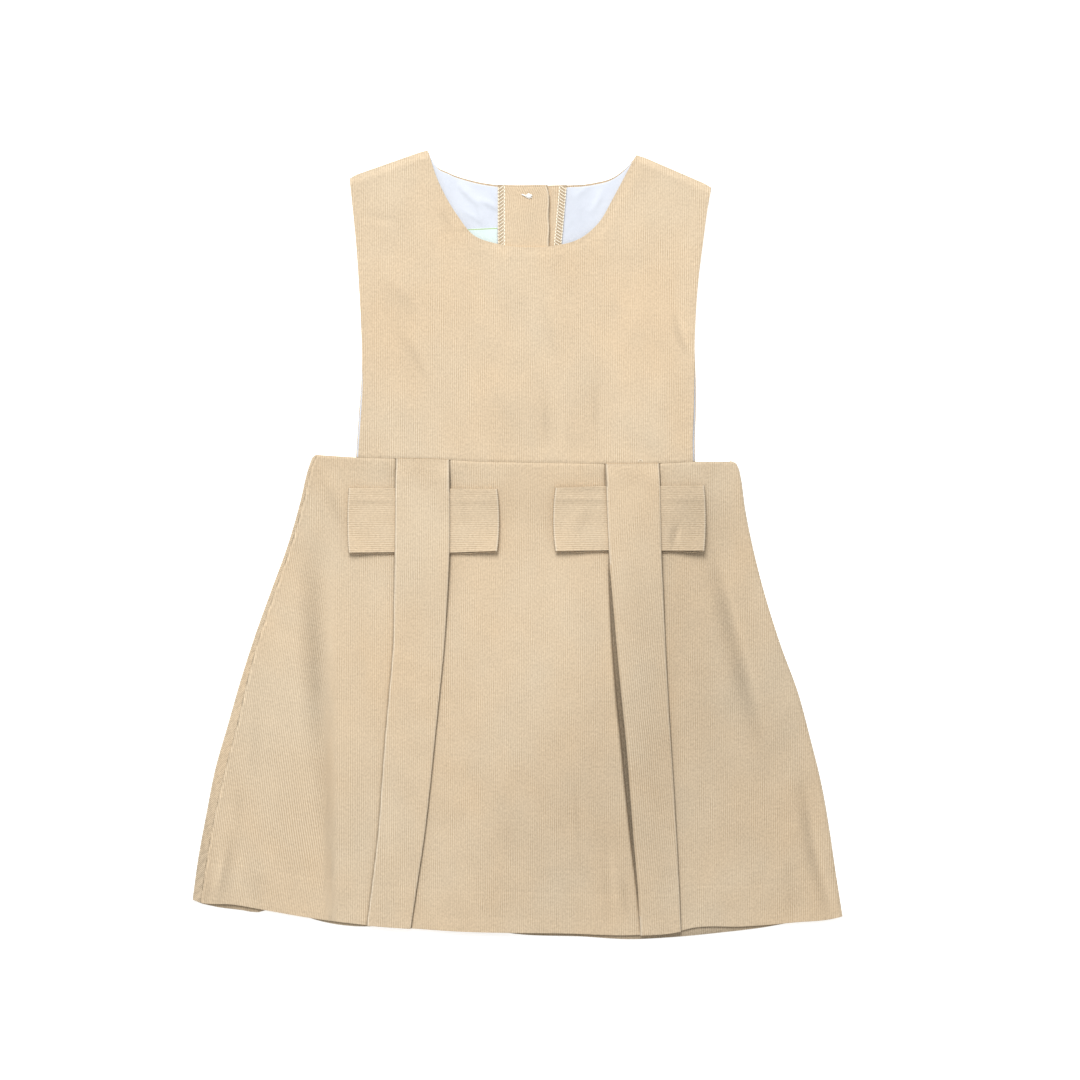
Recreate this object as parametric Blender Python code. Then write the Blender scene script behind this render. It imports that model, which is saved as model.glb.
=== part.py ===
"""A small girl's sleeveless pinafore dress in fine needlecord, lying flat on its back with the front up.

A wide bib front and two lined back halves meet an A-line skirt at the waist. Two box pleats run from
the waist to the hem, each with the folded wings of a bow tucked into its mouths. The back closes with a
placket of three buttons. Every piece of cloth is a wall of its own, a little apart from its neighbours.

Sizes are in millimetres and go into the meshes as metres. +X is to the right as the front is seen, +Y
runs up to the neck and +Z away from the surface. The origin is on the surface, under the middle of the
dress's box.
"""

from math import cos, hypot, pi, sin

import bmesh
import bpy
import numpy as np
from mathutils import Matrix, Vector

MM = 0.001

# The cloth and how its layers stack
CLOTH = 1.0                 # thickness of the needlecord and of the lining
GAP = 0.3                   # air between two layers, and between two edges at a seam
LAYER = CLOTH + GAP         # from one layer to the next
EDGE_ROOM = GAP / 2         # each of two edges stops this far from their seam
TURN_STEPS = 3              # straight steps round a folded edge

# The bodice
NECK_LEFT = (-54.6, 240.5)          # where shoulder and neckline meet
NECK_RIGHT = (72.9, 237.8)
SHOULDER_LEFT = (-102.4, 223.8)     # the outer ends of the shoulders
SHOULDER_RIGHT = (118.8, 218.0)
NECK_SHARES = (0.21, 0.835)         # where the neck's corners fall along the front, from left to right
SHOULDER_DROP = 5.5                 # the front comes down to the back over this width
LINING_SHOULDER = 10.5              # the lining stops this far short of the shoulder
LINING_NECK = 1.5                   # and this far short of the back neck
BACK_PEEK = 1.5                     # the back shows this much beyond the front, low on each side
PEEK_TOP = 105.0
PEEK_SOFT = 25.0
LINING_INSET = 0.5                  # how far inside the back's own edge the lining stops at the armhole
LINING_CORNER = (4.0, 16.0)         # its edge leaves the shoulder for the neckline between these
NECK_CORNER_ROOM = 2.0

# The placket down the back: the left half lies over the right half
RIGHT_FOLD = -2.7                   # the folded edge of the right half
LEFT_FOLD = 19.4                    # the folded edge of the left half
LEFT_FACING_EDGE = -11.9
RIGHT_FACING_EDGE = 29.0
SWELL_LEFT, SWELL_RIGHT = -65.0, 62.0   # the front above is raised between these
SWELL_END_ROOM = 1.5                # it starts down this far past the left half's fold
SWELL_ROOM = 0.2
FRONT_ROOM = 0.15                   # the front lies this much looser than the other layers
LEFT_LINING_EDGE = -9.0
RIGHT_LINING_EDGE = 25.2
CLIMB_START = -13.7                 # the left half climbs over the right one between these
CLIMB_END = RIGHT_FOLD - 1.5
CLIMB_LEVEL = 2.4                   # the lining gets one more column this far into the climb
FACING_STEP = 4.0                   # a facing climbs over the lining's edge in this width

# The buttons, on the outside of the back
BUTTON_X = 7.0
BUTTON_YS = (210.5, 155.0, 99.5)
BUTTON_RADIUS = 5.5
BUTTON_THICKNESS = 1.8
BUTTON_LIFT = BUTTON_THICKNESS + GAP
BUTTON_FLAT = 11.0                  # the stiff placket rides on the buttons, level this far to each side
BUTTON_SPREAD = 44.0                # and the cloth is back down this far out
BUTTON_LIFT_START, BUTTON_LIFT_FULL = 58.0, 92.0
BUTTON_HOLE = 0.9                   # radius of a thread hole
BUTTON_HOLE_PITCH = 1.5

# The label, sewn on the left lining beside the facing
LABEL_LEFT, LABEL_RIGHT = -35.5, -12.4
LABEL_TOP, LABEL_BOTTOM = 192.8, 171.0
LABEL_ROWS = 5

# The skirt
PLEAT_MIDDLE_GAP = 2.2              # between the two inner folds under a pleat's face
PLEAT_SOFT = 6.0                    # the waist seam steps up on to a pleat in this width
PLEAT_STEP_TOP = 30.0               # and that step is gone this far above the waist
BESIDE_BODICE = 14.0                # the skirt's top edge comes down beside the bodice in this width
MOUTH_LIFT = 2.0                    # the second pleat's left mouth stands open this much
MOUTH_YS = (-15.0, -75.0, -140.0, -215.0)   # where that starts, is full, starts to close and is closed
MOUTH_XS = (20.0, 50.0, 64.0, 92.0)
WAIST_FLAT, WAIST_EASE = 2.0, 42.0  # the skirt comes down from the waist seam between these, below it
SEAM_UNDER = 3.0                    # the right side seam lies this far under the edge

# The bow wings
WING_TUCK = 12.0                    # how far a wing goes into the pleat
WING_BAND_TOP, WING_BAND_BOTTOM = 38.5, -6.0
WING_EASE_UP, WING_EASE_DOWN = 11.0, 24.0
WING_FLAT = 3.0                     # a wing lies flat this far out of the pleat, and then lifts
WING_LIFT_POWER = 1.5               # more and more towards its lower edge


def table(names, *rows):
    """Name the columns of a table of sizes."""
    return dict(zip(names, np.array(rows, float).T))


BODICE_SIDES = table(
    ("y", "left", "right"),
    (48.0, -97.3, 107.0),
    (62.0, -96.5, 106.6),
    (76.0, -95.5, 107.1),
    (100.0, -94.2, 107.7),
    (125.0, -94.9, 107.9),
    (161.0, -96.7, 110.1),
    (186.0, -98.5, 113.2),
    (204.0, -100.3, 115.6),
    (224.0, -102.4, 119.4),
)

FRONT_NECK = table(
    ("x", "y"),
    (NECK_LEFT[0], NECK_LEFT[1]),
    (-49.1, 223.6),
    (-36.3, 200.1),
    (-26.0, 187.7),
    (-11.9, 182.5),
    (5.8, 180.4),
    (21.0, 181.1),
    (38.0, 185.8),
    (49.6, 195.6),
    (58.9, 211.4),
    (NECK_RIGHT[0], NECK_RIGHT[1]),
)

BACK_NECK = table(
    ("x", "y"),
    (NECK_LEFT[0], NECK_LEFT[1]),
    (-50.5, 232.5),
    (-41.8, 226.8),
    (-28.7, 222.2),
    (-10.7, 218.8),
    (13.1, 218.4),
    (29.0, 218.7),
    (46.1, 220.3),
    (60.1, 224.8),
    (69.5, 233.2),
    (NECK_RIGHT[0], NECK_RIGHT[1]),
)

WAIST = table(
    ("x", "y"),
    (-123.0, 54.6),
    (-97.3, 52.9),
    (-74.5, 52.3),
    (-48.0, 51.9),
    (-22.0, 50.3),
    (14.0, 49.7),
    (52.0, 49.1),
    (86.0, 49.3),
    (107.0, 50.3),
    (130.0, 50.5),
)

# Across the skirt, by the share of the way down it: its two sides, how far the left side seam rolls in
# from the edge, and the folded edges of the two pleats.
SKIRT = table(
    ("down", "left", "roll", "pleat_1_left", "pleat_1_right", "pleat_2_left", "pleat_2_right", "right"),
    (0.000, -123.6, 1.9, -74.1, -41.2, 53.0, 86.3, 131.2),
    (0.015, -126.2, 1.9, -74.1, -41.2, 53.2, 86.4, 134.4),
    (0.030, -127.6, 1.9, -74.2, -41.2, 53.5, 86.5, 135.9),
    (0.100, -132.8, 1.9, -74.4, -41.2, 54.3, 86.9, 138.7),
    (0.200, -140.9, 1.9, -74.7, -41.4, 55.7, 87.6, 144.7),
    (0.300, -150.7, 2.4, -75.2, -42.8, 58.2, 88.9, 152.5),
    (0.400, -160.4, 2.9, -75.9, -44.7, 60.7, 90.2, 161.3),
    (0.500, -168.8, 4.1, -78.3, -47.5, 63.4, 91.7, 170.8),
    (0.600, -176.5, 5.6, -80.8, -50.4, 66.3, 93.4, 178.3),
    (0.700, -184.3, 6.2, -82.9, -53.3, 68.5, 95.2, 185.1),
    (0.800, -189.7, 5.3, -85.0, -56.6, 70.7, 96.8, 190.0),
    (0.900, -194.6, 5.2, -88.3, -60.8, 73.2, 98.3, 193.9),
    (1.000, -198.2, 4.9, -91.8, -65.0, 74.7, 99.4, 198.2),
)

FRONT_HEM = table(
    ("x", "y"),
    (-198.2, -217.0),
    (-173.0, -219.4),
    (-153.4, -222.8),
    (-129.6, -227.0),
    (-92.0, -231.8),
    (-65.0, -233.9),
    (-35.0, -235.5),
    (29.0, -236.8),
    (72.3, -237.9),
    (97.0, -235.9),
    (106.0, -233.7),
    (137.6, -232.7),
    (169.3, -230.2),
    (198.2, -227.0),
)

BACK_HEM = table(
    ("x", "y"),
    (-198.2, -217.4),
    (-154.6, -224.3),
    (-92.4, -232.5),
    (-5.8, -237.4),
    (67.1, -241.0),
    (94.2, -239.4),
    (123.5, -236.8),
    (169.3, -231.3),
    (198.2, -227.2),
)

# Soft folds of the front skirt, each a ridge along a line, strongest in its middle
SKIRT_FOLDS = table(
    ("x_1", "y_1", "x_2", "y_2", "width", "height"),
    (-141.0, 8.0, -158.0, -196.0, 11.0, 2.3),
    (-111.0, -6.0, -103.0, -206.0, 9.0, 1.7),
    (-100.0, 44.0, -128.0, 14.0, 7.0, 0.9),
    (-20.0, -30.0, -12.0, -220.0, 20.0, 1.5),
    (22.0, -40.0, 38.0, -226.0, 13.0, 1.3),
    (108.0, -6.0, 128.0, -128.0, 9.0, 1.6),
    (132.0, -8.0, 163.0, -136.0, 10.0, 2.0),
    (150.0, -140.0, 172.0, -225.0, 10.0, 1.6),
)

# Soft folds of the front bodice
BODICE_FOLDS = table(
    ("x_1", "y_1", "x_2", "y_2", "width", "height"),
    (-96.0, 176.0, -52.0, 132.0, 9.0, 0.7),
    (-76.0, 164.0, -38.0, 92.0, 8.0, 0.8),
    (88.0, 138.0, 106.0, 118.0, 7.0, 0.7),
    (60.0, 172.0, 84.0, 76.0, 12.0, 0.7),
)

# The four wings: the pleat edge that each goes under, the side it points to, its outer end and how far
# that bows out, its upper and lower edges at the pleat and at the outer end, and how far it stands up
WINGS = (
    # name, edge, side, outer, bow, top_in, top_out, low_in, low_out, lift
    ("wing_left_outer", "pleat_1_left", -1, -102.7, 0.9, 34.2, 34.2, -4.6, -5.0, 1.3),
    ("wing_left_inner", "pleat_1_right", 1, -12.1, 1.2, 34.0, 33.6, -5.4, -4.0, 1.5),
    ("wing_right_outer", "pleat_2_right", 1, 113.7, 1.0, 35.3, 35.9, -3.8, -3.8, 2.9),
    ("wing_right_inner", "pleat_2_left", -1, 22.9, 1.4, 35.9, 34.5, -3.4, -4.0, 1.5),
)

PLEAT_EDGES = ("pleat_1_left", "pleat_1_right", "pleat_2_left", "pleat_2_right")

# How finely the sections are divided
BODICE_UPS = [step * 0.07 for step in range(13)] + [0.9, 0.965, 1.0]
SHOULDER_COLUMNS = 4
FACING_STEPS = (4, 2, 1)            # of a facing, from its fold to its edge
SKIRT_SHARES = (0, 0.015, 0.03, 0.045, 0.08, 0.12, 0.16, 0.2, 0.25, 0.31, 0.38, 0.46,
                0.55, 0.65, 0.77, 0.89, 1)
WING_ROWS = 5

# Colours
CORD_COLOUR = "#E2CAA9"
LINING_COLOUR = "#EDF2F8"
LABEL_COLOUR = "#DFF3EA"
BUTTON_COLOUR = "#E6D3B4"


# ---------------------------------------------------------------- reading sizes

def curve(places, values, at):
    """Read a smooth curve through the values, level beyond its two ends."""
    slopes = np.gradient(values, places)
    at = min(max(at, places[0]), places[-1])
    first = min(int(np.searchsorted(places, at, side="right")) - 1, len(places) - 2)
    step = places[first + 1] - places[first]
    t = (at - places[first]) / step
    start = (1 + 2 * t) * (1 - t) ** 2 * values[first] + t * (1 - t) ** 2 * step * slopes[first]
    end = t * t * (3 - 2 * t) * values[first + 1] + t * t * (t - 1) * step * slopes[first + 1]
    return float(start + end)


def ramp(value, start, end):
    """Rise softly from 0 at the start to 1 at the end."""
    t = min(max((value - start) / (end - start), 0.0), 1.0)
    return t * t * (3 - 2 * t)


def mix(first, second, share):
    return first + (second - first) * share


def layer(number):
    """The height of the middle of a layer of cloth, counted up from the one on the surface."""
    return CLOTH / 2 + number * LAYER


def waist_y(x):
    return float(np.interp(x, WAIST["x"], WAIST["y"]))


def skirt_x(name, down):
    return float(np.interp(down, SKIRT["down"], SKIRT[name]))


def folds(ridges, x, y):
    """The height that a set of soft ridges adds at a place."""
    height = 0.0
    for x_1, y_1, x_2, y_2, width, rise in zip(*ridges.values()):
        length = hypot(x_2 - x_1, y_2 - y_1)
        along = ((x - x_1) * (x_2 - x_1) + (y - y_1) * (y_2 - y_1)) / length ** 2
        across = ((x - x_1) * (y_2 - y_1) - (y - y_1) * (x_2 - x_1)) / length
        ends = ramp(along, -0.15, 0.4) * (1 - ramp(along, 0.6, 1.15))
        height += rise * ends * np.exp(-(across / width) ** 2)
    return float(height)


# ---------------------------------------------------------------- how high each layer lies

def button_lift(x, y):
    """How far the buttons below hold up the cloth along the placket."""
    across = 1 - ramp(abs(x - BUTTON_X), BUTTON_FLAT, BUTTON_SPREAD)
    return BUTTON_LIFT * across * ramp(y, BUTTON_LIFT_START, BUTTON_LIFT_FULL)


def left_half_height(x, y):
    climb = ramp(x, CLIMB_START, CLIMB_END)
    return layer(0) + button_lift(x, y) + 2 * LAYER * climb


def left_facing_height(x, y):
    over_lining = 1 - ramp(x, LEFT_LINING_EDGE + GAP, LEFT_LINING_EDGE + FACING_STEP)
    return left_half_height(x, y) + LAYER * (1 + over_lining)


def left_lining_height(x, y):
    return left_half_height(x, y) + LAYER


def right_half_height(x, y):
    return layer(0) + button_lift(x, y)


def right_facing_height(x, y):
    over_lining = ramp(x, RIGHT_LINING_EDGE - FACING_STEP, RIGHT_LINING_EDGE - GAP)
    return right_half_height(x, y) + LAYER * (1 + over_lining)


def right_lining_height(x, y):
    return right_half_height(x, y) + LAYER


def placket_swell(x):
    """How far the placket's layers lift the front above them."""
    rise = ramp(x, SWELL_LEFT, LEFT_FACING_EDGE) * (1 - ramp(x, LEFT_FOLD + SWELL_END_ROOM, SWELL_RIGHT))
    return (2 * LAYER + SWELL_ROOM) * rise


def over_pleat(x):
    """1 across a pleat at the waist, and 0 a little to each side of it."""
    across = 0.0
    for number in (1, 2):
        left = skirt_x(f"pleat_{number}_left", 0)
        right = skirt_x(f"pleat_{number}_right", 0)
        across = max(across, ramp(x, left - PLEAT_SOFT, left) * (1 - ramp(x, right, right + PLEAT_SOFT)))
    return across


def shoulder_room(x, y):
    """How far below the shoulder line a place is; the neck's far side is well clear of it."""
    if x < NECK_LEFT[0] + NECK_CORNER_ROOM:
        (x_1, y_1), (x_2, y_2) = SHOULDER_LEFT, NECK_LEFT
    elif x > NECK_RIGHT[0] - NECK_CORNER_ROOM:
        (x_1, y_1), (x_2, y_2) = NECK_RIGHT, SHOULDER_RIGHT
    else:
        return float("inf")
    return mix(y_1, y_2, (x - x_1) / (x_2 - x_1)) - y


def front_bodice_height(x, y):
    above_waist = y - waist_y(x)
    pleat = LAYER * over_pleat(x) * (1 - ramp(above_waist, 0.0, PLEAT_STEP_TOP))
    drop = LAYER * (1 - ramp(shoulder_room(x, y), 0.0, SHOULDER_DROP))
    creases = folds(BODICE_FOLDS, x, y) * ramp(above_waist, 0.0, PLEAT_STEP_TOP)
    return layer(2) + FRONT_ROOM + placket_swell(x) + pleat + button_lift(x, y) - drop + creases


def panel_height(x, y):
    """The front skirt's own panel, which the pleats and wings lie on."""
    below_waist = waist_y(x) - y
    low_left, low_right = BODICE_SIDES["left"][0], BODICE_SIDES["right"][0]
    under_bodice = (ramp(x, low_left - BESIDE_BODICE, low_left)
                    * (1 - ramp(x, low_right, low_right + BESIDE_BODICE)))
    at_waist = placket_swell(x) + LAYER * (1 - over_pleat(x)) * under_bodice
    eased = 1 - ramp(below_waist, WAIST_FLAT, WAIST_EASE)
    return layer(1) + at_waist * eased + folds(SKIRT_FOLDS, x, y)


def pleat_lift(x, y):
    """How far the tucked wings, and the open mouth of the right pleat, push up a pleat."""
    wings = (ramp(y, WING_BAND_BOTTOM - WING_EASE_DOWN, WING_BAND_BOTTOM)
             * (1 - ramp(y, WING_BAND_TOP, WING_BAND_TOP + WING_EASE_UP)))
    mouth_down = ramp(y, MOUTH_YS[0], MOUTH_YS[1]) * (1 - ramp(y, MOUTH_YS[2], MOUTH_YS[3]))
    mouth_across = ramp(x, MOUTH_XS[0], MOUTH_XS[1]) * (1 - ramp(x, MOUTH_XS[2], MOUTH_XS[3]))
    return 2 * LAYER * wings + MOUTH_LIFT * mouth_down * mouth_across


def return_height(x, y):
    return panel_height(x, y) + LAYER + pleat_lift(x, y)


def face_height(x, y):
    return panel_height(x, y) + 2 * LAYER + pleat_lift(x, y)


def back_skirt_height(x, y):
    return layer(0)


# ---------------------------------------------------------------- making pieces

def colour(code):
    """Turn an sRGB hex colour into linear red, green, blue and alpha."""
    parts = [int(code[i:i + 2], 16) / 255 for i in (1, 3, 5)]
    return [c / 12.92 if c <= 0.04045 else ((c + 0.055) / 1.055) ** 2.4 for c in parts] + [1.0]


def finish(name, code, roughness):
    material = bpy.data.materials.new(name)
    material.use_nodes = True
    shader = material.node_tree.nodes["Principled BSDF"]
    shader.inputs["Base Color"].default_value = colour(code)
    shader.inputs["Roughness"].default_value = roughness
    shader.inputs["Metallic"].default_value = 0.0
    return material


def add_object(name, bm, material):
    mesh = bpy.data.meshes.new(name)
    bm.to_mesh(mesh)
    bm.free()
    mesh.shade_smooth()
    mesh.set_sharp_from_angle(angle=pi / 4)
    mesh.materials.append(material)
    piece = bpy.data.objects.new(name, mesh)
    bpy.context.scene.collection.objects.link(piece)
    return piece


def cloth(name, rows, material):
    """Make a wall of cloth about rows of points on its middle surface."""
    bm = bmesh.new()
    grid = [[bm.verts.new(Vector(point) * MM) for point in row] for row in rows]
    for near, far in zip(grid, grid[1:]):
        for i in range(len(near) - 1):
            bm.faces.new((near[i], near[i + 1], far[i + 1], far[i]))
    piece = add_object(name, bm, material)
    wall = piece.modifiers.new("Wall", "SOLIDIFY")
    wall.thickness = CLOTH * MM
    wall.offset = 0.0
    wall.use_even_offset = True


def turn(x, low, high, side):
    """Go round a fold from a low layer up to a high one, bulging to a side (-1 left, 1 right)."""
    radius = (high - low) / 2
    angles = [pi * step / TURN_STEPS for step in range(1, TURN_STEPS)]
    return [(x + side * radius * sin(angle), (low + high) / 2 - radius * cos(angle)) for angle in angles]


def spans(start, *stops):
    """Places from a start to each stop in turn, in equal steps; a stop is a place and its steps."""
    places = [start]
    for stop, steps in stops:
        places += list(np.linspace(places[-1], stop, steps + 1)[1:])
    return np.array(places)


def run(places, height, y_at):
    """Go along a layer through the places, at the height that it has at each."""
    return [(float(x), height(x, y_at(x))) for x in places]


# ---------------------------------------------------------------- bodice

def along(outline, share):
    """The point at a share of the way along an outline, by its length."""
    steps = np.hypot(np.diff(outline["x"]), np.diff(outline["y"]))
    lengths = np.concatenate(([0.0], np.cumsum(steps)))
    at = share * lengths[-1]
    return curve(lengths, outline["x"], at), curve(lengths, outline["y"], at)


def front_top(share):
    """The front's upper edge: a shoulder, the neckline and the other shoulder."""
    left_share, right_share = NECK_SHARES
    if share <= left_share:
        part = share / left_share
        return mix(SHOULDER_LEFT[0], NECK_LEFT[0], part), mix(SHOULDER_LEFT[1], NECK_LEFT[1], part)
    if share >= right_share:
        part = (share - right_share) / (1 - right_share)
        return mix(NECK_RIGHT[0], SHOULDER_RIGHT[0], part), mix(NECK_RIGHT[1], SHOULDER_RIGHT[1], part)
    return along(FRONT_NECK, (share - left_share) / (right_share - left_share))


def back_top_y(x):
    """The back's upper edge, shoulders and neckline."""
    if x <= NECK_LEFT[0]:
        part = (x - SHOULDER_LEFT[0]) / (NECK_LEFT[0] - SHOULDER_LEFT[0])
        return mix(SHOULDER_LEFT[1], NECK_LEFT[1], part)
    if x >= NECK_RIGHT[0]:
        part = (x - NECK_RIGHT[0]) / (SHOULDER_RIGHT[0] - NECK_RIGHT[0])
        return mix(NECK_RIGHT[1], SHOULDER_RIGHT[1], part)
    return curve(BACK_NECK["x"], BACK_NECK["y"], x)


def peek(y):
    """How far the back shows beyond the front at its sides."""
    return BACK_PEEK * (1 - ramp(y, PEEK_TOP - PEEK_SOFT, PEEK_TOP + PEEK_SOFT))


def side_x(side, y):
    return curve(BODICE_SIDES["y"], BODICE_SIDES[side], y)


def blend_rows(shares, low_edge, high_edge, low_side, high_side):
    """Fill a four-sided outline with rows of points that follow all its edges."""
    corners = (low_edge(shares[0]), low_edge(shares[-1]), high_edge(shares[0]), high_edge(shares[-1]))
    rows = []
    for up in BODICE_UPS:
        points = []
        for u in shares:
            point = []
            for axis in (0, 1):
                edges = mix(low_edge(u)[axis], high_edge(u)[axis], up)
                sides = mix(low_side(up)[axis], high_side(up)[axis], u)
                low_flat = mix(corners[0][axis], corners[1][axis], u)
                high_flat = mix(corners[2][axis], corners[3][axis], u)
                point.append(edges + sides - mix(low_flat, high_flat, up))
            points.append(point)
        rows.append(points)
    return rows


def side_line(side, low_y, high_y, shift):
    """A bodice side as a function of the share of the way up it."""
    def at(up):
        y = mix(low_y, high_y, up)
        return side_x(side, y) + shift(y), y
    return at


def make_front_bodice(material):
    low_left, low_right = BODICE_SIDES["left"][0], BODICE_SIDES["right"][0]

    def low_edge(u):
        x = mix(low_left, low_right, u)
        return x, waist_y(x) + EDGE_ROOM

    left = side_line("left", low_edge(0)[1], SHOULDER_LEFT[1], lambda y: 0.0)
    right = side_line("right", low_edge(1)[1], SHOULDER_RIGHT[1], lambda y: 0.0)
    corners = [mix(low_left, low_right, share) for share in NECK_SHARES]
    folded = [skirt_x(name, 0) for name in PLEAT_EDGES]
    places = spans(
        low_left, (folded[0] - PLEAT_SOFT, 2), (folded[0], 1),
        (corners[0], 2), (folded[1], 2), (folded[1] + PLEAT_SOFT, 1),
        (folded[2] - PLEAT_SOFT, 9), (folded[2], 1),
        (corners[1], 3), (folded[3], 2), (folded[3] + PLEAT_SOFT, 1),
        (low_right, 2),
    )
    shares = (places - low_left) / (low_right - low_left)
    rows = blend_rows(shares, low_edge, front_top, left, right)
    points = [[(x, y, front_bodice_height(x, y)) for x, y in row] for row in rows]
    cloth("front_bodice", points, material)


def make_back_half(name, side, fold, columns, facing_places, height, facing_height, material):
    """A back half with its facing turned in round the folded edge of the placket.

    The columns say where the half is divided between the corner of the neck and its fold, and the
    facing places where its facing is on the way back.
    """
    toward = 1 if side == "left" else -1
    corner = NECK_LEFT if side == "left" else NECK_RIGHT
    shoulder = SHOULDER_LEFT if side == "left" else SHOULDER_RIGHT
    turn_x = fold - toward * (CLOTH / 2 + LAYER / 2)
    low_side = BODICE_SIDES[side][0]

    def low_edge(u):
        x = mix(low_side, turn_x, u)
        return x, waist_y(x) + EDGE_ROOM

    def high_edge(u):
        x = mix(shoulder[0], turn_x, u)
        return x, back_top_y(x)

    def fold_line(up):
        return turn_x, mix(low_edge(1)[1], high_edge(1)[1], up)

    places = spans(shoulder[0], (corner[0], SHOULDER_COLUMNS), *columns, (turn_x, 3))
    shares = (places - shoulder[0]) / (turn_x - shoulder[0])
    outer = side_line(side, low_edge(0)[1], shoulder[1], lambda y: -toward * peek(y))
    rows = blend_rows(shares, low_edge, high_edge, outer, fold_line)
    points = []
    for up, row in zip(BODICE_UPS, rows):
        def y_at(x):
            return mix(waist_y(x) + EDGE_ROOM, back_top_y(x), up)

        fold_y = row[-1][1]
        low, high = height(turn_x, fold_y), facing_height(turn_x, fold_y)
        around = [(x, fold_y, z) for x, z in turn(turn_x, low, high, toward)]
        facing = [(x, y_at(x), z) for x, z in run(spans(turn_x, *facing_places), facing_height, y_at)]
        points.append([(x, y, height(x, y)) for x, y in row] + around + facing)
    cloth(name, points, material)


def make_lining(name, side, inner_edge, columns, height, material):
    toward = 1 if side == "left" else -1
    corner = NECK_LEFT if side == "left" else NECK_RIGHT
    shoulder = SHOULDER_LEFT if side == "left" else SHOULDER_RIGHT

    def top_y(x):
        past_corner = ramp(toward * (x - corner[0]), *LINING_CORNER)
        return back_top_y(x) - mix(LINING_SHOULDER, LINING_NECK, past_corner)

    def low_edge(u):
        x = mix(BODICE_SIDES[side][0], inner_edge, u)
        return x, waist_y(x) + GAP

    def high_edge(u):
        x = mix(shoulder[0], inner_edge, u)
        return x, top_y(x)

    def inner_line(up):
        return inner_edge, mix(low_edge(1)[1], high_edge(1)[1], up)

    def shift(y):
        return toward * (LINING_INSET - peek(y))

    outer = side_line(side, low_edge(0)[1], high_edge(0)[1], shift)
    places = spans(shoulder[0], (corner[0], SHOULDER_COLUMNS), *columns, (inner_edge, 2))
    shares = (places - shoulder[0]) / (inner_edge - shoulder[0])
    rows = blend_rows(shares, low_edge, high_edge, outer, inner_line)
    cloth(name, [[(x, y, height(x, y)) for x, y in row] for row in rows], material)


def make_label(material):
    """A plain label on the left lining."""
    rows = []
    for y in np.linspace(LABEL_BOTTOM, LABEL_TOP, LABEL_ROWS):
        places = spans(LABEL_LEFT, (CLIMB_START, 5), (LABEL_RIGHT, 1))
        rows.append([(x, y, left_lining_height(x, y) + LAYER) for x in places])
    cloth("label", rows, material)


# ---------------------------------------------------------------- skirt

def front_y(x, down):
    hem = float(np.interp(x, FRONT_HEM["x"], FRONT_HEM["y"]))
    return mix(waist_y(x) - EDGE_ROOM, hem, down)


def back_y(x, down):
    hem = float(np.interp(x, BACK_HEM["x"], BACK_HEM["y"]))
    return mix(waist_y(x) - GAP, hem, down)


def inner_fold_x(left, right, side, down):
    """Where a fold turns under a pleat's face, set back by its own radius from the pleat's middle."""
    x = mix(left, right, 0.5) + side * PLEAT_MIDDLE_GAP / 2
    y = front_y(x, down)
    radius = (return_height(x, y) - panel_height(x, y)) / 2
    return x + side * (radius + CLOTH / 2)


def pleat_line(left, right, down):
    """A box pleat's section: in under its face, out, across and back the same way."""
    def y_at(x):
        return front_y(x, down)

    fold_in = CLOTH / 2 + LAYER / 2
    left_in, right_in = inner_fold_x(left, right, -1, down), inner_fold_x(left, right, 1, down)
    left_out, right_out = left + fold_in, right - fold_in

    def fold(x, low, high, side):
        y = y_at(x)
        return turn(x, low(x, y), high(x, y), side)

    return (
        fold(left_in, panel_height, return_height, 1)
        + run(spans(left_in, (left_out, 2)), return_height, y_at)
        + fold(left_out, return_height, face_height, -1)
        + run(spans(left_out, (right_out, 4)), face_height, y_at)
        + fold(right_out, return_height, face_height, 1)[::-1]
        + run(spans(right_out, (right_in, 2)), return_height, y_at)
        + fold(right_in, panel_height, return_height, -1)[::-1]
    )


def front_skirt_line(down):
    """The front skirt's section from the rolled seam on the left to the one under the right edge."""
    def y_at(x):
        return front_y(x, down)

    folded = [skirt_x(name, down) for name in PLEAT_EDGES]
    seam = skirt_x("left", down) + skirt_x("roll", down) + EDGE_ROOM
    turn_x = skirt_x("right", down) - CLOTH / 2 - LAYER / 2
    inner = [
        inner_fold_x(folded[0], folded[1], -1, down),
        inner_fold_x(folded[0], folded[1], 1, down),
        inner_fold_x(folded[2], folded[3], -1, down),
        inner_fold_x(folded[2], folded[3], 1, down),
    ]
    middle = spans(inner[1], (folded[1], 1), (folded[1] + PLEAT_SOFT, 2), (folded[2] - PLEAT_SOFT, 8),
                   (folded[2], 2), (inner[2], 1))
    edge_y = y_at(turn_x)
    line = (
        run(spans(seam, (folded[0] - PLEAT_SOFT, 6), (folded[0], 2), (inner[0], 1)), panel_height, y_at)
        + pleat_line(folded[0], folded[1], down)
        + run(middle, panel_height, y_at)
        + pleat_line(folded[2], folded[3], down)
        + run(spans(inner[3], (folded[3], 1), (folded[3] + PLEAT_SOFT, 2), (turn_x, 7)), panel_height, y_at)
        + turn(turn_x, back_skirt_height(turn_x, edge_y), panel_height(turn_x, edge_y), 1)[::-1]
        + run(spans(turn_x, (turn_x - SEAM_UNDER, 1)), back_skirt_height, y_at)
    )
    return [(x, y_at(x), z) for x, z in line]


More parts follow.
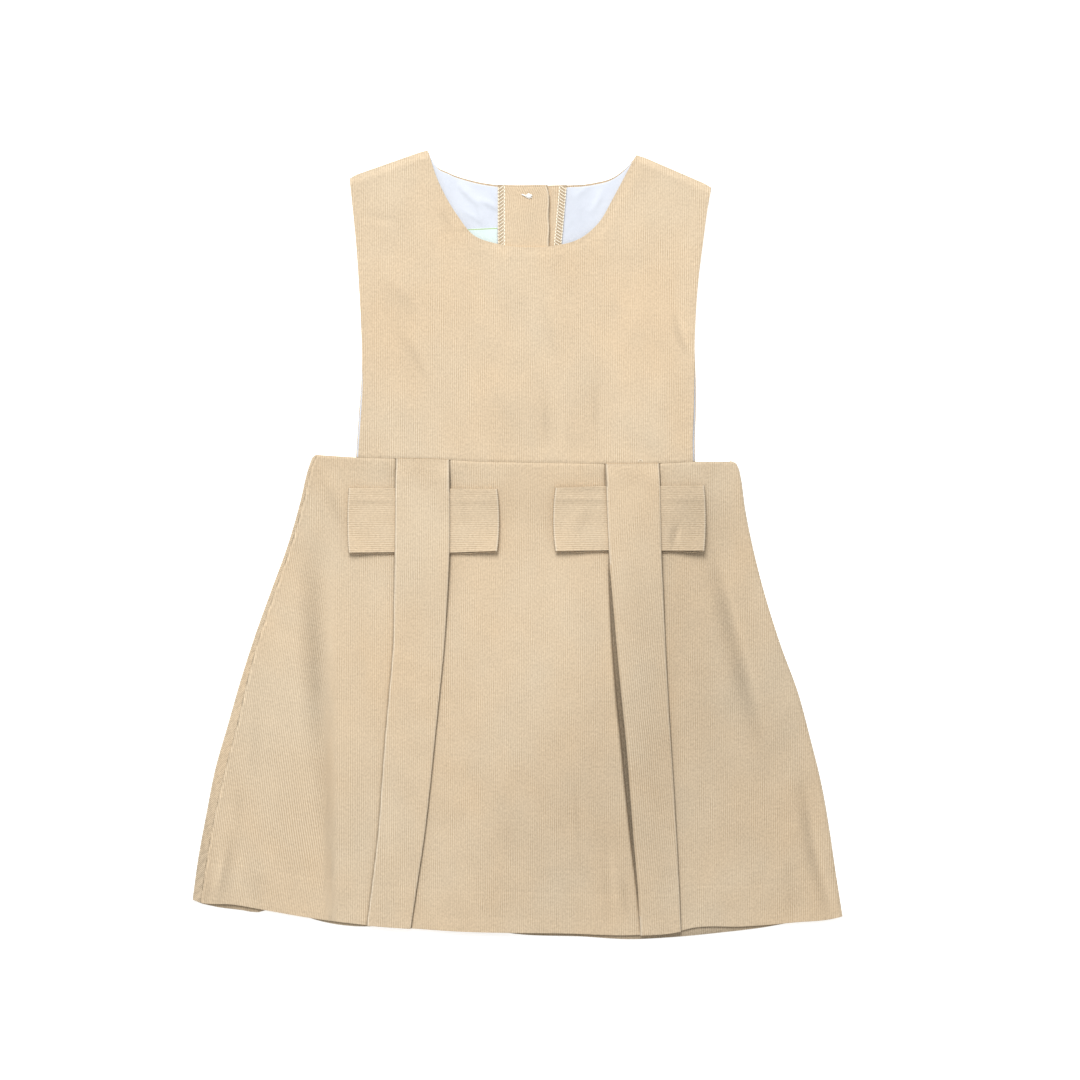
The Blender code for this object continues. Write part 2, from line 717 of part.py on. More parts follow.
def back_skirt_line(down):
    """The back skirt's section from its seam, round the left edge, to its seam under the right edge."""
    def y_at(x):
        return back_y(x, down)

    turn_x = skirt_x("left", down) + CLOTH / 2 + LAYER / 2
    seam = skirt_x("left", down) + skirt_x("roll", down) - EDGE_ROOM
    under = skirt_x("right", down) - CLOTH / 2 - LAYER / 2 - SEAM_UNDER - GAP
    edge_y = front_y(turn_x, down)
    low, high = back_skirt_height(turn_x, edge_y), panel_height(turn_x, edge_y)
    top = [(x, front_y(x, down), panel_height(x, front_y(x, down))) for x in (seam, turn_x)]
    around = [(x, edge_y, z) for x, z in turn(turn_x, low, high, -1)[::-1]]
    bottom = [(x, y_at(x), z) for x, z in run(spans(turn_x, (under, 10)), back_skirt_height, y_at)]
    return top + around + bottom


def make_wing(name, edge, side, outer, bow, top_in, top_out, low_in, low_out, lift, material):
    """A wing of a bow: a band that comes out of the pleat, folds back at its end and goes in again."""
    middle = mix(top_in, low_in, 0.5)
    down = (waist_y(outer) - middle) / (waist_y(outer) - front_y(outer, 1.0))
    pleat_edge = skirt_x(edge, down)
    inner = pleat_edge - side * WING_TUCK
    rows = []
    for row in range(WING_ROWS + 1):
        share = row / WING_ROWS
        end = outer + side * bow * 4 * share * (1 - share) - side * (CLOTH / 2 + LAYER / 2)

        def place(x):
            out = (x - inner) / (end - inner)
            return mix(mix(top_in, top_out, out), mix(low_in, low_out, out), share)

        def under_layer(x, y):
            free = ramp(side * (x - pleat_edge), WING_FLAT, abs(end - pleat_edge))
            return panel_height(x, y) + LAYER + lift * free * share ** WING_LIFT_POWER

        def upper_layer(x, y):
            return under_layer(x, y) + LAYER

        line = (
            run(spans(inner, (pleat_edge, 2), (end, 5)), under_layer, place)
            + turn(end, under_layer(end, place(end)), upper_layer(end, place(end)), side)
            + run(spans(end, (pleat_edge, 5), (inner, 2)), upper_layer, place)
        )
        rows.append([(x, place(x), z) for x, z in line])
    cloth(name, rows, material)


# ---------------------------------------------------------------- buttons

def make_button(name, x, y, material):
    """A dished round button with four thread holes, its face on the surface."""
    rim, dish, rounding = 1.4, 0.4, 0.35
    bm = bmesh.new()
    bmesh.ops.create_cone(bm, cap_ends=True, segments=16, radius1=BUTTON_RADIUS * MM,
                          radius2=BUTTON_RADIUS * MM, depth=BUTTON_THICKNESS * MM)
    edges = [e for e in bm.edges if abs(e.verts[0].co.z - e.verts[1].co.z) < GAP * MM]
    bmesh.ops.bevel(bm, geom=edges, offset=rounding * MM, offset_type="OFFSET", affect="EDGES",
                    segments=2, profile=0.5, material=-1)
    bm.faces.ensure_lookup_table()
    face = min((f for f in bm.faces if len(f.verts) == 16), key=lambda f: f.calc_center_median().z)
    bmesh.ops.inset_individual(bm, faces=[face], thickness=rim * MM, depth=-dish * MM)
    piece = add_object(name, bm, material)
    piece.location = Vector((x, y, BUTTON_THICKNESS / 2)) * MM

    holes = bmesh.new()
    for across, up in ((-1, -1), (-1, 1), (1, -1), (1, 1)):
        place = Vector((across, up, 0)) * BUTTON_HOLE_PITCH * MM
        bmesh.ops.create_cone(holes, cap_ends=True, segments=6, radius1=BUTTON_HOLE * MM,
                              radius2=BUTTON_HOLE * MM, depth=3 * BUTTON_THICKNESS * MM,
                              matrix=Matrix.Translation(place))
    cutter = add_object(f"{name}_holes", holes, material)
    cutter.location = piece.location
    cutter.hide_render = True
    cutter.display_type = "WIRE"
    cut = piece.modifiers.new("Holes", "BOOLEAN")
    cut.operation = "DIFFERENCE"
    cut.solver = "EXACT"
    cut.object = cutter


def build():
    for old in list(bpy.data.objects):
        bpy.data.objects.remove(old)

    cord = finish("needlecord_cotton", CORD_COLOUR, 0.9)
    lining = finish("lining_cotton", LINING_COLOUR, 0.85)
    label = finish("label_ribbon", LABEL_COLOUR, 0.7)
    plastic = finish("button_resin", BUTTON_COLOUR, 0.35)

    make_front_bodice(cord)
    facing_places = (LEFT_LINING_EDGE + FACING_STEP, LEFT_LINING_EDGE + GAP, LEFT_FACING_EDGE)
    make_back_half("back_bodice_left", "left", LEFT_FOLD,
                   ((CLIMB_START, 5), (CLIMB_END, 4)),
                   tuple(zip(facing_places, FACING_STEPS)),
                   left_half_height, left_facing_height, cord)
    facing_places = (RIGHT_LINING_EDGE - FACING_STEP, RIGHT_LINING_EDGE - GAP, RIGHT_FACING_EDGE)
    make_back_half("back_bodice_right", "right", RIGHT_FOLD,
                   ((RIGHT_FACING_EDGE, 5),),
                   tuple(zip(facing_places, FACING_STEPS)),
                   right_half_height, right_facing_height, cord)
    make_lining("back_lining_left", "left", LEFT_LINING_EDGE,
                ((CLIMB_START, 5), (CLIMB_START + CLIMB_LEVEL, 1)),
                left_lining_height, lining)
    make_lining("back_lining_right", "right", RIGHT_LINING_EDGE,
                ((RIGHT_FACING_EDGE, 5),),
                right_lining_height, lining)
    make_label(label)
    cloth("front_skirt", [front_skirt_line(down) for down in SKIRT_SHARES], cord)
    cloth("back_skirt", [back_skirt_line(down) for down in SKIRT_SHARES], cord)
    for wing in WINGS:
        make_wing(*wing, cord)
    for number, y in enumerate(BUTTON_YS, start=1):
        make_button(f"button_{number}", BUTTON_X, y, plastic)


build()
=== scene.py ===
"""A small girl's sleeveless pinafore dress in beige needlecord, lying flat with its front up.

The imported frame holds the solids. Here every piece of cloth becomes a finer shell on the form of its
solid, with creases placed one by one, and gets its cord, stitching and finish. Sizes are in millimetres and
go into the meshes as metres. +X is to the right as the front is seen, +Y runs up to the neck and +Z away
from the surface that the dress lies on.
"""

from math import hypot, pi

import bmesh
import bpy
import numpy as np
from mathutils import Matrix, Vector


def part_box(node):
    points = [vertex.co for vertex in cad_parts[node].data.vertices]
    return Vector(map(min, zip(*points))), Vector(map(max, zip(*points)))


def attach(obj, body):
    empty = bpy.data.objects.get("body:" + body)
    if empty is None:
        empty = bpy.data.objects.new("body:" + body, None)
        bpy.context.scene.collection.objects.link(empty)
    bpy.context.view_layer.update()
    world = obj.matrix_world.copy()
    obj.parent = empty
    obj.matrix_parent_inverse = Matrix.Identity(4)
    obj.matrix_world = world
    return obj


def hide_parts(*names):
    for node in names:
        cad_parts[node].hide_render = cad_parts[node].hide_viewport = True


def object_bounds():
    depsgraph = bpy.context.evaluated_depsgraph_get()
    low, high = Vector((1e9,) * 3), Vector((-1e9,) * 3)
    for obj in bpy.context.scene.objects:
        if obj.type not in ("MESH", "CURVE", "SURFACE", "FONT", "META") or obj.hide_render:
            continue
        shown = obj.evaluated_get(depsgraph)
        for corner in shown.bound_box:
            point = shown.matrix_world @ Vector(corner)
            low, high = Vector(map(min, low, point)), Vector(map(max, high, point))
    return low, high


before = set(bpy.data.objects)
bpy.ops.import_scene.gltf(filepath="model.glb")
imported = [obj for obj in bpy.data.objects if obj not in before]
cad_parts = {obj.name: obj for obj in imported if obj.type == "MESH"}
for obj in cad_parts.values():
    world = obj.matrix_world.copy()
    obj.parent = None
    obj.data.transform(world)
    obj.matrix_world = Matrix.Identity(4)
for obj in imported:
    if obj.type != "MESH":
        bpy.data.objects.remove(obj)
CAD_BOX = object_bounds()

MM = 0.001

# The cloth and how its layers stack
CLOTH = 1.0                 # thickness of the needlecord and of the lining
GAP = 0.3                   # air between two layers, and between two edges at a seam
LAYER = CLOTH + GAP
FOLD_IN = CLOTH / 2 + LAYER / 2     # a fold turns from this far inside its outermost line
SEAM_ROOM = 0.05            # two edges that are sewn together stop this far from their seam
SEAM_ROLL = 0.35            # and dip into it this deep
SEAM_ROLL_WIDTH = 1.6
SEAM_PUCKER_WIDTH = 9.0
LINING = 0.36               # the lining is thinner
LINING_DROP = 0.25          # and lies this much lower in its layer
LINING_SHOULDER_DROP = 0.32  # and lower again under the shoulder seam, over this width
LINING_DROP_WIDTH = 12.0
FOLD_STEPS = 6              # straight steps round a folded edge
TALL_FOLD = 0.1             # a fold round a tall gap bulges less than half of it, by this share of the rest
EDGE_ROUND = 0.3            # cut and sewn edges are rounded by this
RIM_WIDTH = 0.65            # a painted highlight lies beside a pressed fold, over this width
FOLD_SHADE_REACH = 0.3             # and painted shade on the fold itself, up to this far
FOLD_SHADE_RIBS = 0.3             # and further between the ribs

# The bodice
NECK_LEFT = (-54.6, 240.5)
NECK_RIGHT = (72.9, 237.8)
SHOULDER_LEFT = (-102.4, 223.8)
SHOULDER_RIGHT = (118.8, 218.0)
NECK_SHARES = (0.21, 0.835)
SHOULDER_DROP = 5.5
LINING_SHOULDER = 2.0
LINING_NECK = 1.4
LINING_INSET = 0.5
LINING_CORNER = (-2.0, 4.0)
BACK_PEEK = 1.5
PEEK_TOP, PEEK_SOFT = 105.0, 25.0
NECK_STITCHING = 1.3        # the back neck is stitched this far below its edge
NECK_DENT, NECK_DENT_WIDTH = 0.16, 0.4
TIP_REACH = 3.0
SLOPE_REACH = 0.5           # the neckline's slope is taken over this far to both sides

# The placket down the back: the left half lies over the right half
RIGHT_FOLD, LEFT_FOLD = -2.7, 19.4
LEFT_FACING_EDGE = -11.9
RIGHT_FACING_LOW, RIGHT_FACING_TOP = 26.6, 30.0
RIGHT_FACING_SLANT = (180.0, 218.0)     # the heights that its cut edge slants between
LEFT_LINING_EDGE, RIGHT_LINING_EDGE = -9.0, 25.2
PLACKET_DRAWN_IN, PLACKET_DRAWN_DEPTH = 1.0, 7.0    # the folds are drawn in at the neck
PLACKET_WAVE, PLACKET_WAVE_PITCH = 0.2, 17.0
SWELL_LEFT, SWELL_RIGHT = -65.0, 62.0
SWELL_END_ROOM = 1.5
SWELL_ROOM = 0.2
FRONT_ROOM = 0.15
CLIMB_START = -13.7
CLIMB_END = RIGHT_FOLD - 1.5
FACING_STEP = 4.0
FACING_LAP = 0.55           # a facing that laps a lining lies this much higher
RIGHT_FACING_CLIMB = (19.8, 21.4)   # the right facing climbs to that height beside the placket's fold
NECK_DIP, NECK_DIP_WIDTH = 0.6, 7.0     # the front dips to the lining along its neckline

# The buttons under the back
BUTTONS = ("button_1", "button_2", "button_3")
BUTTON_X = 7.0
BUTTON_THICKNESS = 1.8
BUTTON_LIFT = BUTTON_THICKNESS + GAP
BUTTON_FLAT, BUTTON_SPREAD = 11.0, 44.0
BUTTON_LIFT_START, BUTTON_LIFT_FULL = 58.0, 92.0
BUTTON_HOLE = 0.9
BUTTON_HOLE_PITCH = 1.5
BUTTON_DISH = 0.6
BUTTON_RIM, BUTTON_ROUND = 1.1, 0.22
BUTTON_SIDES = 64
BUTTON_THREAD = 0.6

# The skirt
PLEAT_MIDDLE_GAP = 2.2
PANEL_STEP = 1.0            # the panel steps down under a pleat from this far outside it to as far inside
BODICE_STEP = 3.0           # and the bodice steps up over it from this far
PLEAT_RISE = 0.4
PLEAT_STEP_TOP = 26.0
PLEAT_PRESS = 0.25          # pressed this much closer, each layer of it, at the waist
PLEAT_PRESS_DOWN = 14.0
BESIDE_BODICE = 14.0
WAIST_FLAT, WAIST_EASE = 2.0, 42.0
SEAM_UNDER = 3.0
HEM_DEPTH = 25.0            # the hem is turned up this far, and its stitching dents the front there
HEM_DENT = 0.04
HEM_DENT_WIDTH = 0.8
HEM_RISE, HEM_RISE_DEPTH = 0.06, 2.0    # the doubled cloth below it stands this much higher
SEAM_RIDGE = 0.25           # the left side seam's turnings raise this ridge beside it
SEAM_RIDGE_AT, SEAM_RIDGE_WIDTH = 1.3, 1.0
SEAM_START = 0.1            # the seam's dark line fades from this far in
SEAM_PUCKER, SEAM_WANDER = 5.3, 0.3
SEAM_WAVES = ((1.0, 0.43, 0.0), (0.6, 1.21, 1.0))   # it wanders by these shares, at these rates and phases
SEAM_PULL = (0.45, 2.0, 0.31)   # its thread draws in quick puckers: how much, and how their pitch varies
SEAM_DRIFT = (0.35, 0.37)   # and in slow ones: how much, and at what rate
SEAM_STRIP = 4.0            # the columns are closer beside it, over this width
PANEL_RIBS = {"left": 50, "centre": 30, "right": 20, "back": 40}    # ribs are counted from these columns
PANEL_STEPS = {"seam": 12, "left": 38, "centre": 44, "right": 54, "under": 2, "back_roll": 6, "back": 80}

# The bow wings
WING_TUCK = 12.0
WING_BAND_TOP, WING_BAND_BOTTOM = 38.5, -6.0
WING_EASE_UP, WING_EASE_DOWN = 11.0, 56.0
WING_PEEK = 0.9             # the band's under layer shows about this far below its upper one
WING_PEEK_WAVE, WING_PEEK_PITCH = 0.25, 17.0
WING_PEEK_TOP, WING_PEEK_FROM = 0.7, 20     # from this share of its height down, fading from this column
WING_FLAT = 3.0
WING_LIFT_POWER = 1.5
WING_UNDER_STEPS, WING_UPPER_STEPS = 24, 30

# What counts as a pressed fold: the cosine of its turn, over so many steps; and as far from one
FOLD_TURN, FOLD_SPAN, FAR = -0.3, 4, 100.0

# The cord
WALE = 1.32                 # from one rib to the next: 19 to the inch
RIB_MEAN = 2 / pi           # the average of a rib's rounded profile
LEAN_TOP = 5.0              # the left panel's ribs swing over below here, left of its trough
LEAN_NEAR, LEAN_FAR = 0.15, 0.13
LEAN_TROUGH, LEAN_WIDTH, LEAN_STEP = -118.0, 67.0, 8.0

# The threads and the label
OVERLOCK_PITCH = {"left": 2.15, "right": 1.9}
OVERLOCK_WIDTH = 4.0
OVERLOCK_THREAD, OVERLOCK_KNOT = 0.55, 0.75
OVERLOCK_END_LOW, OVERLOCK_END_HIGH = 1.0, 0.8      # it stops this short of the waist and of the neck
OVERLOCK_FADE = 0.6         # the painted shade under it reaches this far beyond it
# The corners of one stitch: how far in from the edge, and how many pitches up
OVERLOCK_CORNERS = ((0.2, 0.0), (OVERLOCK_WIDTH, 1.3), (OVERLOCK_WIDTH, 1.9), (0.2, 0.7))
STITCH_SIDES, STITCH_RINGS = 8, 5
BUTTONHOLE = (5.5, 18.5)    # from one end to the other, across the placket
BUTTONHOLE_SLIT, BUTTONHOLE_EDGE = 0.25, 1.4
BUTTONHOLE_PITCH, BUTTONHOLE_THREAD = 0.55, 0.4
KNOT_Y = 211.4
KNOT_THREAD = 0.9
LOOP, LOOP_RADIUS, LOOP_THREAD, LOOP_POINTS = (74.8, 50.3), 1.3, 0.3, 5
LABEL, LABEL_ROOM = 0.3, 0.06
LABEL_LINE_Y, LABEL_LINE = 192.3, 0.6
LABEL_TILT = 0.035          # it was sewn on a little crooked

# The rows of each piece: places down or up it, as shares of its height, each with the steps to it
BODICE_ROWS = ((0.012, 5), (0.1, 10), (0.88, 86), (1.0, 30))
BACK_HALF_ROWS = ((0.86, 46), (0.98, 14), (1.0, 9))
LINING_ROWS = ((0.7, 30), (0.98, 50), (1.0, 6))
SKIRT_ROWS = ((0.008, 5), (0.04, 5), (0.22, 28), (0.86, 68), (0.905, 6), (0.921, 10), (0.99, 9), (1.0, 4))
BACK_SKIRT_ROWS = ((0.02, 3), (0.9, 62), (1.0, 12))
WING_ROWS = ((0.06, 4), (0.94, 40), (1.0, 9))
LINING_LAST = 6.0           # the lining's last columns are closer, over this width
FACE_STEPS, RETURN_STEPS = 24, 5    # columns across a pleat's face and across its returns
UNDER_STEPS, SHADE_STEPS = 3, 4     # and of the panel, on under the pleat and in its shade

# The studio: its floor and lamp in metres and watts, its camera in millimetres
FLOOR_REACH, WORLD_LIGHT = 20.0, 0.6
LAMP_PLACE, LAMP_SIZE, LAMP_POWER = (-0.35, 1.75, 2.0), 1.4, 70.0
FLOOR_DROP = 0.05           # the floor lies this many millimetres below the dress
EYE, LENS = (13.7, 2.7), 82.0   # the camera is above this place
PICTURE, PIXEL = 1080, 0.61     # and sees this many pixels across, of so many millimetres

# Colours, in sRGB
CORD_COLOURS = ("#A8906F", "#DAC8AE")       # its valleys, painted darker with the shade between the ribs, and its rib tops
PATCH_COLOURS = ("#D1B693", "#CDBEA6")      # its pile, which lies two ways
# painted shade on a pressed fold, a painted highlight beside it, and the tint of the sheen
FOLD_SHADE_COLOUR, RIM_HIGHLIGHT_COLOUR, SHEEN_COLOUR = "#6E5A40", "#E8DCC8", "#FFF1D8"
LAWN_COLOURS = ("#CBD0DA", "#D0D5DE")
RIBBON_COLOUR, RIBBON_LINE_COLOUR = "#CFDEDC", "#9CB878"
RESIN_COLOURS = ("#C4AD88", "#DAC7A6")
THREAD_COLOURS = {"cream_thread": ("#F4E8CE", "#FFFAEC"), "white_thread": ("#ECECE8", "#FAFAF8")}
PAPER_COLOURS = ("#F6F6F6", "#FAFAFA")
WHITE = "#FFFFFF"

# Unevenness, as noise: its waves to a metre across the ribs and along them, its detail and its roughness
NOISE = {
    "wander": (80.0, 28.0, 2.0, 0.5),
    "worn": (190.0, 120.0, 2.0, 0.5),
    "blurred": (34.0, 26.0, 1.0, 0.5),
    "pile": (1000.0, 620.0, 3.0, 0.6),
    "speckle": (860.0, 700.0, 2.0, 0.55),
    "patch": (14.0, 11.0, 3.0, 0.55),
    "cloud": (55.0, 38.0, 2.0, 0.5),
    "soft": (60.0, 42.0, 2.0, 0.5),
    "drawn": (300.0, 260.0, 1.0, 0.5),
    "lawn": (45.0, 38.0, 3.0, 0.5),
    "limp": (150.0, 110.0, 2.0, 0.5),
}
RIB_WANDER = 2.4            # the ribs wander by up to half of this, in radians
# Noise between the first two is stretched to between the third and 1
WORN_RANGE, BLURRED_RANGE = (0.38, 0.62, 0.35), (0.36, 0.64, 0.45)
PATCH_RANGE, PATCH_SHARE, RIM_SHARE = (0.36, 0.64), 0.3, 0.55
# how much the pile, its speckle and its clouds vary the colour, and how strongly painted shade and painted
# light change it
PILE_SHADE, SPECKLE_SHADE, CLOUD_SHADE, PAINTED_LIGHT_STRENGTH = 0.5, 0.85, 0.25, 0.16
SHADE_RANGE = (0.5, 1.1, 0.84, 1.16)
PILE_RELIEF, SPECKLE_RELIEF = 0.5, 0.6
LAWN_THREAD, LAWN_RANGE = 0.6, (0.35, 0.65)     # its threads are drawn this far apart
RIBBON_RIB = 0.4            # from one of its ribs to the next


def table(names, *rows):
    """Name the columns of a table of sizes; what a row leaves out at its end is 0."""
    filled = [row + (0.0,) * (len(names) - len(row)) for row in rows]
    return dict(zip(names, np.array(filled, float).T))


# The tips of the shoulders and the neck, and how each is drawn in by turning it
TIPS = table(
    ("x", "y", "shift_x", "shift_y"),
    (*SHOULDER_LEFT, 0.3, -0.8),
    (*SHOULDER_RIGHT, -0.2, -0.8),
    (*NECK_LEFT, 0.0, -0.4),
    (*NECK_RIGHT, 0.0, -0.6),
)

# The button's knot, stitch by stitch from its middle
KNOT = table(
    ("x_1", "y_1", "x_2", "y_2"),
    (-2.1, -0.1, 1.9, 0.2),
    (-1.5, 0.8, 1.4, -0.9),
    (-1.3, -0.9, 1.5, 0.8),
    (-0.2, 1.5, 0.1, -1.5),
    (-0.8, 1.2, 0.9, 1.0),
    (-1.9, 0.1, -4.3, 1.1),
)

BODICE_SIDES = table(
    ("y", "left", "right"),
    (48.0, -97.3, 107.0),
    (62.0, -96.5, 106.6),
    (76.0, -95.5, 107.1),
    (100.0, -94.2, 107.7),
    (125.0, -94.9, 107.9),
    (161.0, -96.7, 110.1),
    (186.0, -98.5, 113.2),
    (204.0, -100.3, 115.6),
    (224.0, -102.4, 119.4),
)

FRONT_NECK = table(
    ("x", "y"),
    (NECK_LEFT[0], NECK_LEFT[1]),
    (-49.1, 223.6),
    (-36.3, 200.1),
    (-26.0, 187.7),
    (-11.9, 182.5),
    (5.8, 180.4),
    (21.0, 181.1),
    (38.0, 185.8),
    (49.6, 195.6),
    (58.9, 211.4),
    (NECK_RIGHT[0], NECK_RIGHT[1]),
)

BACK_NECK = table(
    ("x", "y"),
    (NECK_LEFT[0], NECK_LEFT[1]),
    (-50.5, 232.5),
    (-41.8, 226.8),
    (-28.7, 222.2),
    (-10.7, 218.8),
    (13.1, 218.4),
    (29.0, 218.7),
    (46.1, 220.3),
    (60.1, 224.8),
    (69.5, 233.2),
    (NECK_RIGHT[0], NECK_RIGHT[1]),
)

WAIST = table(
    ("x", "y"),
    (-123.0, 54.6),
    (-97.3, 52.9),
    (-74.5, 52.3),
    (-48.0, 51.9),
    (-22.0, 50.3),
    (14.0, 49.7),
    (52.0, 49.1),
    (86.0, 49.3),
    (107.0, 50.3),
    (130.0, 50.5),
)

SKIRT = table(
    ("down", "left", "roll", "pleat_1_left", "pleat_1_right", "pleat_2_left", "pleat_2_right", "right"),
    (0.000, -123.4, 1.9, -74.1, -41.2, 53.0, 86.3, 130.4),
    (0.003, -124.6, 1.9, -74.1, -41.2, 53.0, 86.3, 132.7),
    (0.007, -125.3, 1.9, -74.1, -41.2, 53.1, 86.3, 133.8),
    (0.015, -126.2, 1.9, -74.1, -41.2, 53.2, 86.4, 134.9),
    (0.030, -127.6, 1.9, -74.2, -41.2, 53.5, 86.5, 135.9),
    (0.100, -132.3, 1.9, -74.4, -41.2, 54.3, 86.9, 138.7),
    (0.200, -140.3, 1.9, -74.7, -41.4, 55.7, 87.6, 144.4),
    (0.300, -150.3, 2.4, -75.2, -42.8, 58.2, 88.9, 151.7),
    (0.400, -160.1, 2.9, -75.9, -44.7, 60.7, 90.2, 160.6),
    (0.500, -168.8, 4.1, -78.3, -47.5, 63.4, 91.7, 170.8),
    (0.600, -176.5, 5.6, -80.8, -50.4, 66.3, 93.4, 178.3),
    (0.700, -184.3, 6.2, -82.9, -53.3, 68.5, 95.2, 185.1),
    (0.800, -189.7, 5.3, -85.0, -56.6, 70.7, 96.8, 190.0),
    (0.900, -194.6, 5.2, -88.3, -60.8, 73.2, 98.3, 193.9),
    (1.000, -198.2, 4.9, -91.8, -65.0, 74.7, 99.4, 198.2),
)

FRONT_HEM = table(
    ("x", "y"),
    (-198.2, -216.2),
    (-195.6, -217.3),
    (-173.0, -219.4),
    (-153.4, -222.8),
    (-129.6, -227.0),
    (-92.0, -231.8),
    (-65.0, -233.9),
    (-35.0, -235.5),
    (29.0, -236.8),
    (72.3, -237.9),
    (97.0, -235.9),
    (106.0, -233.7),
    (137.6, -232.7),
    (169.3, -230.2),
    (194.8, -227.4),
    (197.0, -226.8),
    (198.2, -225.6),
)

BACK_HEM = table(
    ("x", "y"),
    (-198.2, -216.4),
    (-195.4, -217.8),
    (-186.0, -220.4),
    (-168.0, -222.9),
    (-158.0, -224.2),
    (-152.0, -222.6),
    (-133.0, -225.4),
    (-125.0, -228.2),
    (-94.0, -232.9),
    (-84.0, -232.6),
    (-14.0, -235.6),
    (-2.0, -237.3),
    (40.0, -239.0),
    (67.1, -240.6),
    (94.2, -239.4),
    (123.5, -236.6),
    (150.0, -233.4),
    (169.3, -230.0),
    (195.0, -227.0),
    (198.2, -225.4),
)

# The second pleat's left mouth stands open. The centre panel swells up to a crest and stops short of the
# pleat with a steep drop; the pleat's edge stands up beside it.
MOUTH = table(
    ("y", "gap", "rise", "crest", "height", "brink"),
    (-238.0, 0.0, 0.0, -32.0, 2.4, 0.0),
    (-226.0, 0.5, 0.4, -29.0, 2.8, 0.4),
    (-205.0, 1.4, 1.1, -24.0, 3.7, 1.2),
    (-170.0, 2.6, 2.3, -11.0, 4.5, 2.6),
    (-131.0, 3.7, 3.2, 3.0, 4.7, 3.6),
    (-83.0, 3.7, 3.1, 14.0, 3.9, 3.4),
    (-40.0, 2.4, 1.8, 20.0, 1.8, 1.8),
    (-16.0, 1.0, 0.6, 24.0, 0.5, 0.5),
    (-4.0, 0.0, 0.0, 24.0, 0.0, 0.0),
)
MOUTH_FADE = 27.0           # the pleat's face is back down this far from its open edge
MOUTH_ROUND = 0.5           # the drop starts this far before the gap
MOUTH_FOOT = 0.72           # and ends this share of the gap short of the pleat
MOUTH_STRIP, MOUTH_STEPS = 4.0, (6, 8, 4)   # closer columns: before it, over this width, then down and on
MOUTH_DARK = (-0.9, -3.3)   # little light reaches into it, least of all beside the pleat
MOUTH_DARK_COLUMNS = 10

# How much painted shade darkens the cloth, or painted light makes it paler, in these places
OVERLOCK_SHADE = -1.6        # painted shade under the overlock stitches
NECK_RIM_SHADE, NECK_RIM = -2.2, 1.3     # painted shade on the rim of the back neck, this wide
HEM_SHADE, HEM_SHADE_DEPTH = -2.0, 9.0  # painted shadow on the back's hem, under the front's
# painted shade beside each edge of the pleats
PLEAT_SHADE = {"pleat_1_left": -1.6, "pleat_1_right": -2.4, "pleat_2_left": -1.6, "pleat_2_right": -2.0}
SEAM_SHADE, SEAM_HIGHLIGHT = -2.0, 0.7        # painted shade in the left side seam, and a painted highlight on the ridge beside it
ROPE_SHADING, ROPE_PITCH, ROPE_CLEAR = 0.5, 3.4, 0.6     # the strip beyond it twists like a rope, shown by bands of painted light and shade
# painted shade along the skirt's sides, over this width
SIDE_SHADE, SIDE_SHADE_WIDTH = -1.2, 1.8
BAND_SHADE, BAND_HIGHLIGHT, BAND_RIM = -2.8, 1.0, 0.45    # painted shade in the gap along a wing's lower edge, and a painted highlight on its rims

# Painted shade and painted light: soft oval patches, darker where less light falls, most of all on the
# skirt's right, and paler where more falls
PAINTED_LIGHT_PATCHES = table(
    ("x", "y", "half_width", "half_height", "amount"),
    (20.0, -165.0, 62.0, 62.0, -0.5),
    (82.0, -120.0, 24.0, 110.0, -0.5),
    (150.0, -120.0, 60.0, 130.0, -0.75),
    (106.0, -60.0, 26.0, 80.0, -0.35),
    (118.0, 20.0, 30.0, 40.0, -0.45),
    (104.0, 14.0, 14.0, 22.0, -0.5),
    (-84.0, 46.0, 60.0, 9.0, -0.3),
    (58.0, 120.0, 70.0, 90.0, 0.2),
    (-120.0, 20.0, 24.0, 40.0, -0.3),
    (-64.0, -20.0, 40.0, 60.0, 0.15),
    (-194.0, -180.0, 7.0, 46.0, -0.8),
    (-186.0, -216.0, 12.0, 12.0, -0.3),
    (-57.6, 43.5, 17.0, 5.5, -0.9),
    (69.6, 42.5, 17.0, 5.5, -0.9),
    (46.0, -110.0, 12.0, 70.0, -0.35),
)

# Where its ribs stand out
CLEAR = table(
    ("x", "y", "half_width", "half_height", "amount"),
    (-140.0, -160.0, 60.0, 60.0, 0.8),
    (-124.0, -50.0, 36.0, 60.0, 0.4),
    (78.0, -110.0, 12.0, 90.0, 0.9),
    (0.0, -195.0, 60.0, 40.0, 0.35),
    (150.0, -60.0, 40.0, 60.0, 0.35),
    (184.0, -200.0, 18.0, 34.0, 0.6),
    (126.0, 30.0, 12.0, 26.0, 0.35),
    (36.0, 31.0, 20.0, 5.0, 0.1),
)

# Soft creases. Each runs along a line drawn downwards, or to the right; its west, or lower, flank and its
# east, or upper, one differ; its height is below 0 for a trough, and its middle may bow out to the east.
CREASE = ("x_1", "y_1", "x_2", "y_2", "west", "east", "height", "bow")
CREASE_START, CREASE_END = (-0.15, 0.4), (0.6, 1.15)    # the shares of its line where it rises and fades
